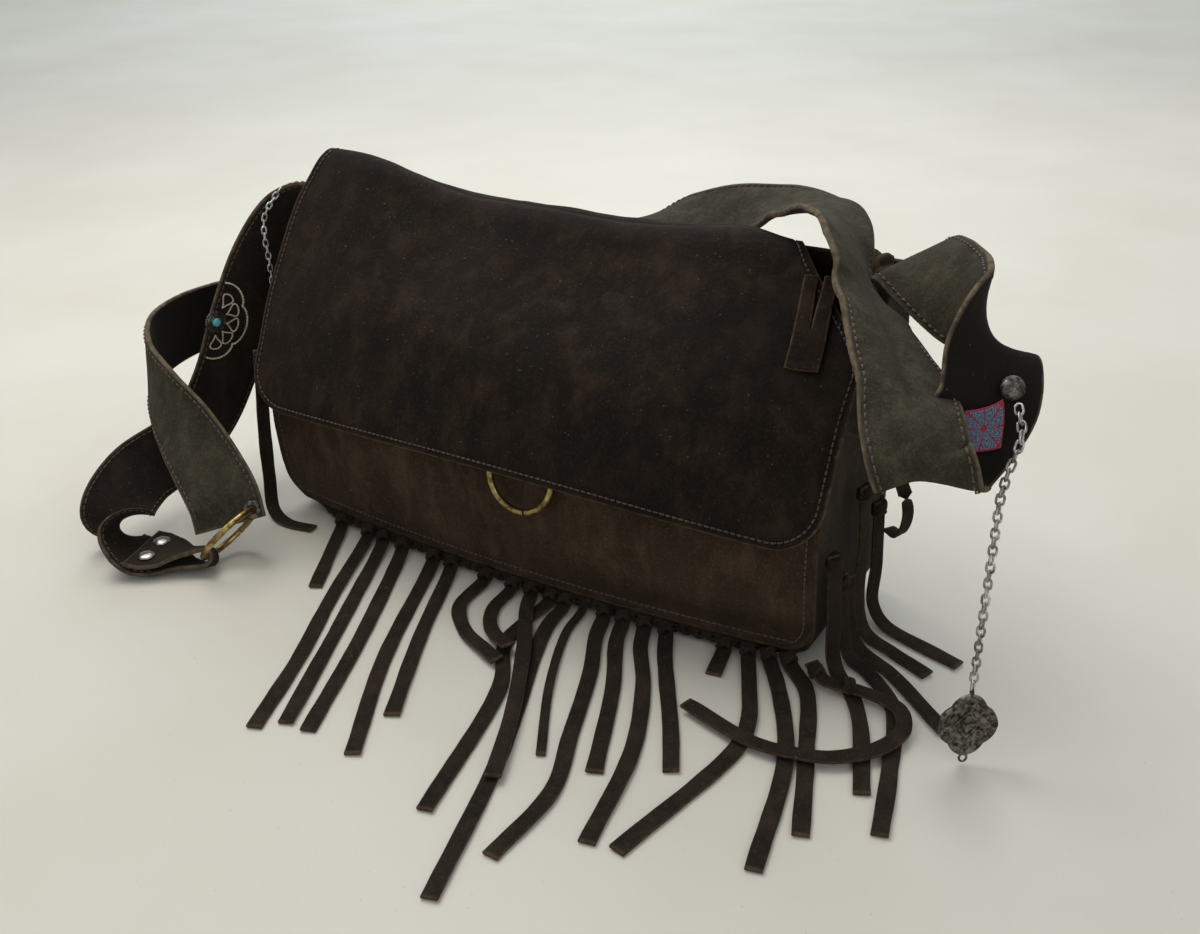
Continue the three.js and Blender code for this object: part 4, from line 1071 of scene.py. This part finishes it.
def make_patch():
    """Small woven patch: eight grey-blue petals with crimson outlines and rays."""
    size, turn, step = 13.5, math.radians(35), 9.5
    n = 61
    u, v = np.meshgrid(np.linspace(-0.5, 0.5, n), np.linspace(-0.5, 0.5, n), indexing="ij")
    angle, radius = np.arctan2(v, u), np.hypot(u, v) * 2
    ray = abs(np.sin(4 * angle))
    outline = smooth(0.32 - ray, 0, 0.16) + smooth(np.maximum(abs(u), abs(v)), 0.445, 0.47)
    heart = 1 - smooth(radius, 0.1, 0.22)
    red = np.clip(outline * (radius > 0.06) + heart, 0, 1)[..., None]
    streak = (0.5 + 0.5 * np.sin(26 * radius + 6 * np.cos(8 * angle)))[..., None]
    blue = np.array(srgb(58, 74, 98)) * (1 - streak) + np.array(srgb(126, 146, 168)) * streak
    paint = blue * (1 - red) + np.array(srgb(172, 30, 62)) * red
    height = 0.25 * (1 - red[..., 0]) * (1 - smooth(radius, 0.85, 1.05)) + 0.12 * streak[..., 0]

    def surface(lift):
        along = (u * math.cos(turn) - v * math.sin(turn)) * size
        across = (u * math.sin(turn) + v * math.cos(turn)) * size - 2.5
        index = LOOP_INDEX - 0.5 + along / step
        return long_band.spot(index.ravel(), across.ravel(), long_inner * (1.7 + lift).ravel())[0]

    faces, loop = grid_shell(n, n)
    faces += [(a, a + n * n, b + n * n, b) for a, b in zip(loop, np.roll(loop, -1))]
    colours = paint.reshape(-1, 4)
    piece("patch_woven", np.vstack([surface(0.7 + height), surface(0 * u)]), faces, patch_cloth,
          slot="woven_cloth", replaces=["woven_patch"], fields={"paint": np.vstack([colours, colours])})


def make_stud():
    point, out = on_band(long_band, LOOP_INDEX + 0.8, -6.5, long_inner)
    rows = [[0, 0], [1.7, 0], [1.7, 1.3], [4.5, 1.5], [4.6, 1.9], [4.4, 2.3], [4.5, 2.7], [4.1, 3.4],
            [3.2, 4.1], [2.0, 4.6], [0.9, 4.8], [0, 4.85]]
    turned_part("chain_stud_domed", rows, facing(point + out * 1.9, out), 40, replaces=["chain_stud"])


# ---- chains and pendant
def links(build, route, pitch, straight, end_radius, wire, first_turn=0.3):
    """Oval cable links along a route, each one turned a quarter from the last."""
    arcs = np.linspace(-math.pi / 2, math.pi / 2, 8)
    right_end = np.stack([straight + end_radius * np.cos(arcs), end_radius * np.sin(arcs)], 1)
    oval = np.vstack([right_end, -right_end])
    hang = np.array([1.0, 0.2, 0])
    for i in range(int(route.length // pitch)):
        index = route.index_at((i + 0.5) * pitch)
        along = route.tangent(index)[0]
        side = unit(hang - along * (hang @ along))
        turn = first_turn + i * math.pi / 2 + 0.12 * math.sin(i * 2.3)
        flat = side * math.cos(turn) + np.cross(along, side) * math.sin(turn)
        rod(build, route.at(index)[0] + oval[:, :1] * along + oval[:, 1:] * flat, wire, sides=7, closed=True)


CHAIN_LINE = [236.5, -69.6]  # x, y of the hanging part
PENDANT_TOP_Z = 37.5
right_chain = Route([[235, -55, 156], [239.5, -64, 148], [238, -70, 136], [*CHAIN_LINE, 124],
                     [*CHAIN_LINE, 112], [*CHAIN_LINE, PENDANT_TOP_Z + 1]])
left_chain = Route([[-168.5, -9, 174], [-169, -22, 163], [-168.5, -25, 155], [-167, -26, 140],
                    [-166, -27, 122]])


def make_chains():
    for name, route, sizes in (("right_chain", right_chain, (3.65, 0.95, 1.42, 0.5)),
                               ("left_chain", left_chain, (3.4, 0.9, 1.15, 0.45, 0.8))):
        build = Build()
        links(build, route, *sizes)
        build.piece(name + "_links", silver, body=name + "_body", slot="silver_metal", replaces=[name])


def diamond(a):
    """Share of the full radius, at a turn, in a diamond with hollow sides."""
    return 1 / (abs(np.cos(a)) + abs(np.sin(a))) ** 0.55


def make_pendant():
    """Cast pendant: lobed plate with a raised rim, domes, a stepped diamond and a ring at top and bottom."""
    matrix = matrix_of(turned(32, "Z"), [*CHAIN_LINE, PENDANT_TOP_Z - 17.2])
    rows = [(0.02, 0.45), (0.8, 0.45), (0.86, 0.7), (0.9, 0.95), (0.97, 0.95), (1.0, 0.7)]
    back = [(0.02, -0.45), (0.8, -0.45), (0.86, -0.75), (0.9, -1.0), (0.97, -1.0), (1.0, -0.7)]
    dome = [[0, 0.85], [0.5, 0.75], [0.85, 0.45], [0.95, 0.1], [1.35, 0.05], [1.4, -0.1], [0, -0.1]]
    build = Build()

    def at(x, y, z):
        return placed(np.stack(np.broadcast_arrays(x, y, z), -1).astype(float), matrix)

    a = round_turn(192)
    edge = (1 + 0.085 * abs(np.sin(4 * a))) * diamond(a)
    x, z = 12.3 * edge * np.cos(a), 15.3 * edge * np.sin(a)
    rings = [at(grow * x, y, grow * z) for grow, y in back + rows[::-1]]
    build.add(np.vstack(rings), tube_faces(len(rings), len(a)))
    for front in (-1, 1):
        for a in math.pi / 8 + round_turn(8):
            spot = at(9.5 * diamond(a) * math.cos(a), front * 0.42, 12.3 * diamond(a) * math.sin(a))
            lathe(build, dome, facing(spot, matrix[:3, 1] * front), 20)
        for scale, width in ((1.0, 0.34), (0.66, 0.26)):
            corners = np.array([[0, -7.6], [5.9, 0], [0, 7.6], [-5.9, 0]]) * scale
            sides = zip(corners, np.roll(corners, -1, axis=0))
            x, z = np.array([a + (b - a) * t for a, b in sides for t in np.linspace(0.04, 0.96, 7)]).T
            rod(build, at(x, front * 0.62, z), width, closed=True)
        a = round_turn(20)
        for up in (-1, 1):
            rod(build, at(1.5 * np.cos(a), front * 0.6, up * 11.4 + np.sin(a)), 0.25, sides=6, closed=True)
    a = round_turn(28)
    rod(build, at(0, 1.5 * np.cos(a), 16.3 + 1.9 * np.sin(a)), 0.5, closed=True)
    rod(build, at(1.5 * np.cos(a), 0, -16.9 + 1.9 * np.sin(a)), 0.5, closed=True)
    build.piece("pendant_relief", pewter, body="pendant_body", slot="pewter", replaces=["pendant"], sharp=55)


# ---- knots and fringe
KNOT_THONG_R, KNOT_SIZE = 1.45, 0.86
KNOT_LOWEST = 5.3  # least height of a knot's middle, so that it lies on the floor


def knot(build, centre, along, size):
    """A thong tied over itself: two flat turns round the thong and one slanting over them."""
    matrix = facing(centre, along, UP)
    a = round_turn(26)
    for lean, shift, radius in ((0.28, -1.5, 2.9), (-0.3, 1.5, 3.0), (0.95, 0.0, 3.25)):
        turn = np.stack([radius * np.cos(a), radius * np.sin(a), shift + radius * np.sin(a + 0.6) * lean], 1)
        thick = KNOT_THONG_R * size * (1 + 0.14 * np.sin(3 * a + lean * 9))
        rod(build, placed(turn * size, matrix), thick, sides=9, closed=True, edge=0.12, inside=0, shade=0.1)


THONG_W, THONG_T, THONG_Z, LAYER = 7.5, 1.4, 1.1, 2.0
NARROW_THONG, NARROW_W = 12, 4.5
# Each front thong: the x of its knot, then x, y and, where it lies over others, its layer.
front_thongs = [
    [-118, [-104, -72], [-87, -103]],
    [-97, [-75, -102], [-52, -152], [-34, -199]],
    [-86, [-64, -98], [-42, -148], [-24, -190]],
    [-72, [-37, -126], [-12, -189]],
    [-50, [-17, -132], [15, -191]],
    [-38, [-14, -108], [13, -163]],
    [-14, [-12, -80], [4, -97, 0.3], [20, -105, 1.1], [32, -110, 1.1]],
    [3, [4, -74], [16, -92, 1.4], [32, -101, 2.3]],
    [26, [25, -92], [43, -124], [62, -202]],
    [34, [36, -75], [70, -162], [92, -237]],
    [12, [20, -68, 1.3], [38, -97, 1.3], [60, -138, 1.2], [76, -175, 1.2]],
    [44, [46, -72], [61, -110], [84, -152]],
    [55, [60, -68], [73, -95], [88, -135], [100, -168], [99, -209]],
    [65, [71, -68], [87, -98], [109, -150]],
    [76, [83, -66], [98, -90], [116, -131], [127, -185]],
    [87, [96, -66], [124, -112], [136, -134]],
    [118, [122, -68]],
    [128, [139, -66], [150, -90], [153, -108], [139, -183]],
    [137, [150, -60], [173, -103], [188, -166]],
    [146, [163, -58], [180, -98], [196, -141]],
]
# Each other thong: where its knots are along it, and its route.
side_thongs = {
    "right_thong_1": ((3,), [[163.5, -36, 60], [166, -38, 32], [168, -40, 9], [173, -44, 3], [180, -49, 1.1],
                             [191, -66, 1.1], [208, -108, 1.1]]),
    "right_thong_2": ((3,), [[163.5, -26, 44], [167, -27, 20], [171, -28, 4], [183, -33, 1.1],
                             [200, -50, 1.1], [213, -90, 1.1], [222, -126, 1.1]]),
    "right_thong_3": ((), [[163.5, -14, 37], [166, -16, 15], [172, -19, 2.8], [190, -27, 1.1],
                           [225, -55, 1.1]]),
    "right_thong_4": ((3,), [[163.5, -2, 78], [166, -5, 50], [166, -6, 20], [171, -7, 4], [186, -12, 1.1],
                             [206, -21, 1.1]]),
    "right_thong_5": ((3,), [[163.5, 20, 59], [166, 16, 30], [168, 10, 9], [175, 6, 2.6], [192, 0, 1.1],
                             [216, -7, 1.1]]),
    "right_thong_loop": ((), [[163.5, 30, 74], [171, 26, 68], [177, 22, 56], [174, 22, 43], [167, 26, 42]]),
    "right_floor_loop": ((5, 22), [[160, -46, 7.5], [169, -52, 5], [186, -50, 3.9], [203, -53, 3.9],
                                   [210, -66, 3.9], [204, -84, 3.9], [188, -98, 3.9], [161, -104, 3.9],
                                   [136, -99, 3.9], [122, -95, 3.9]]),
    "left_thong": ((4,), [[-163, -46, 96], [-163.5, -51, 56], [-163, -54, 21], [-158, -59, 4.6],
                          [-146, -62, 1.2], [-128, -60, 1.2]]),
    "flap_side_thong": ((), [[167, -14, 152], [168, -28, 136], [168, -38, 120]]),
}


def thong_band(points, width):
    """The strip lies face up on the surface; where it hangs it keeps the width direction of what follows."""
    rows = []
    for i in range(len(points) - 1, -1, -1):
        a, b = np.array(points[max(0, i - 1)]), np.array(points[min(len(points) - 1, i + 1)])
        along = (b - a) * [1, 1, 0]
        flat = np.linalg.norm(along) > 0.5 * abs(b[2] - a[2])
        side = unit(np.cross(along, UP)) if flat or not rows else rows[0][3:]
        rows.insert(0, [*points[i], *side])
    return Band(rows, width, THONG_T)


def make_thong(name, points, width=THONG_W, knots=(), seed=1.0):
    """One fringe thong with its knots."""
    band = thong_band(points, width)
    build = Build()

    def curl(index, across):
        drop = 0.24 * np.sin(1.9 * index + seed) + 0.16 * np.sin(4.3 * index + 2 * seed)
        return 0.18 * (1 - across**2) + np.maximum(0, drop * across) * 1.4

    steps = max(24, int(band.route.length / 1.6))
    strip(build, band, steps, curl, columns=5, edge_share=0.85, ragged=seed)
    for distance in knots:
        index = band.route.index_at(distance)
        centre = band.route.at(index)[0]
        centre[2] = max(centre[2], KNOT_LOWEST)
        knot(build, centre, band.route.tangent(index)[0], KNOT_SIZE)
    made = build.piece(name + "_suede", suede_dark, slot="dark_suede", replaces=[name])


def make_fringe():
    for number, (x, *route) in enumerate(front_thongs, 1):
        root = float(front_y(x, 5)) + PANEL_T - THONG_T - 1
        away = 6 / math.hypot(route[0][0] - x, route[0][1] - root)
        points = [[x, root, 5.6], [x + (route[0][0] - x) * away, root + (route[0][1] - root) * away, 2.5]]
        points += [[px, py, THONG_Z + LAYER * sum(layer)] for px, py, *layer in route]
        width, knots = (NARROW_W, ()) if number == NARROW_THONG else (THONG_W, (4.5,))
        make_thong(f"front_thong_{number:02d}", points, width, knots, float(number))
    for i, (name, (knots, points)) in enumerate(side_thongs.items()):
        make_thong(name, points, knots=knots, seed=30.0 + i)


def make_shoulder_knot():
    """Gathered leather lump: folds run out from its middle."""
    a, b = np.meshgrid(round_turn(72), np.linspace(0.04, math.pi - 0.04, 36), indexing="ij")
    ball = np.stack([np.sin(b) * np.cos(a), np.cos(b), np.sin(b) * np.sin(a)], -1)
    folds = 1 + 0.13 * np.sin(7 * a + 2.5 * np.cos(b)) * np.sin(b) + 0.16 * wobble(ball * 10, 6, 21)
    points = ball * folds[..., None] * [10.5, 10.0, 8.0] + [150, 25, 168.5]
    build = Build()
    build.add(points.transpose(1, 0, 2).reshape(-1, 3), tube_faces(36, 72), edge=0.15, inside=0, shade=0.1)
    build.piece("shoulder_gather", suede_panel, replaces=["shoulder_knot"])


# ---- the whole bag
for make in (
    make_camera, make_stage, make_fringe, make_front_panel, make_back_panel, make_gusset, make_border,
    make_flap, make_flap_tab, make_ring_tab, make_rings, make_long_strap, make_short_strap, make_eyelet,
    make_rivets, make_concho, make_embroidery, make_patch, make_stud, make_chains, make_pendant,
    make_shoulder_knot,
):
    make()
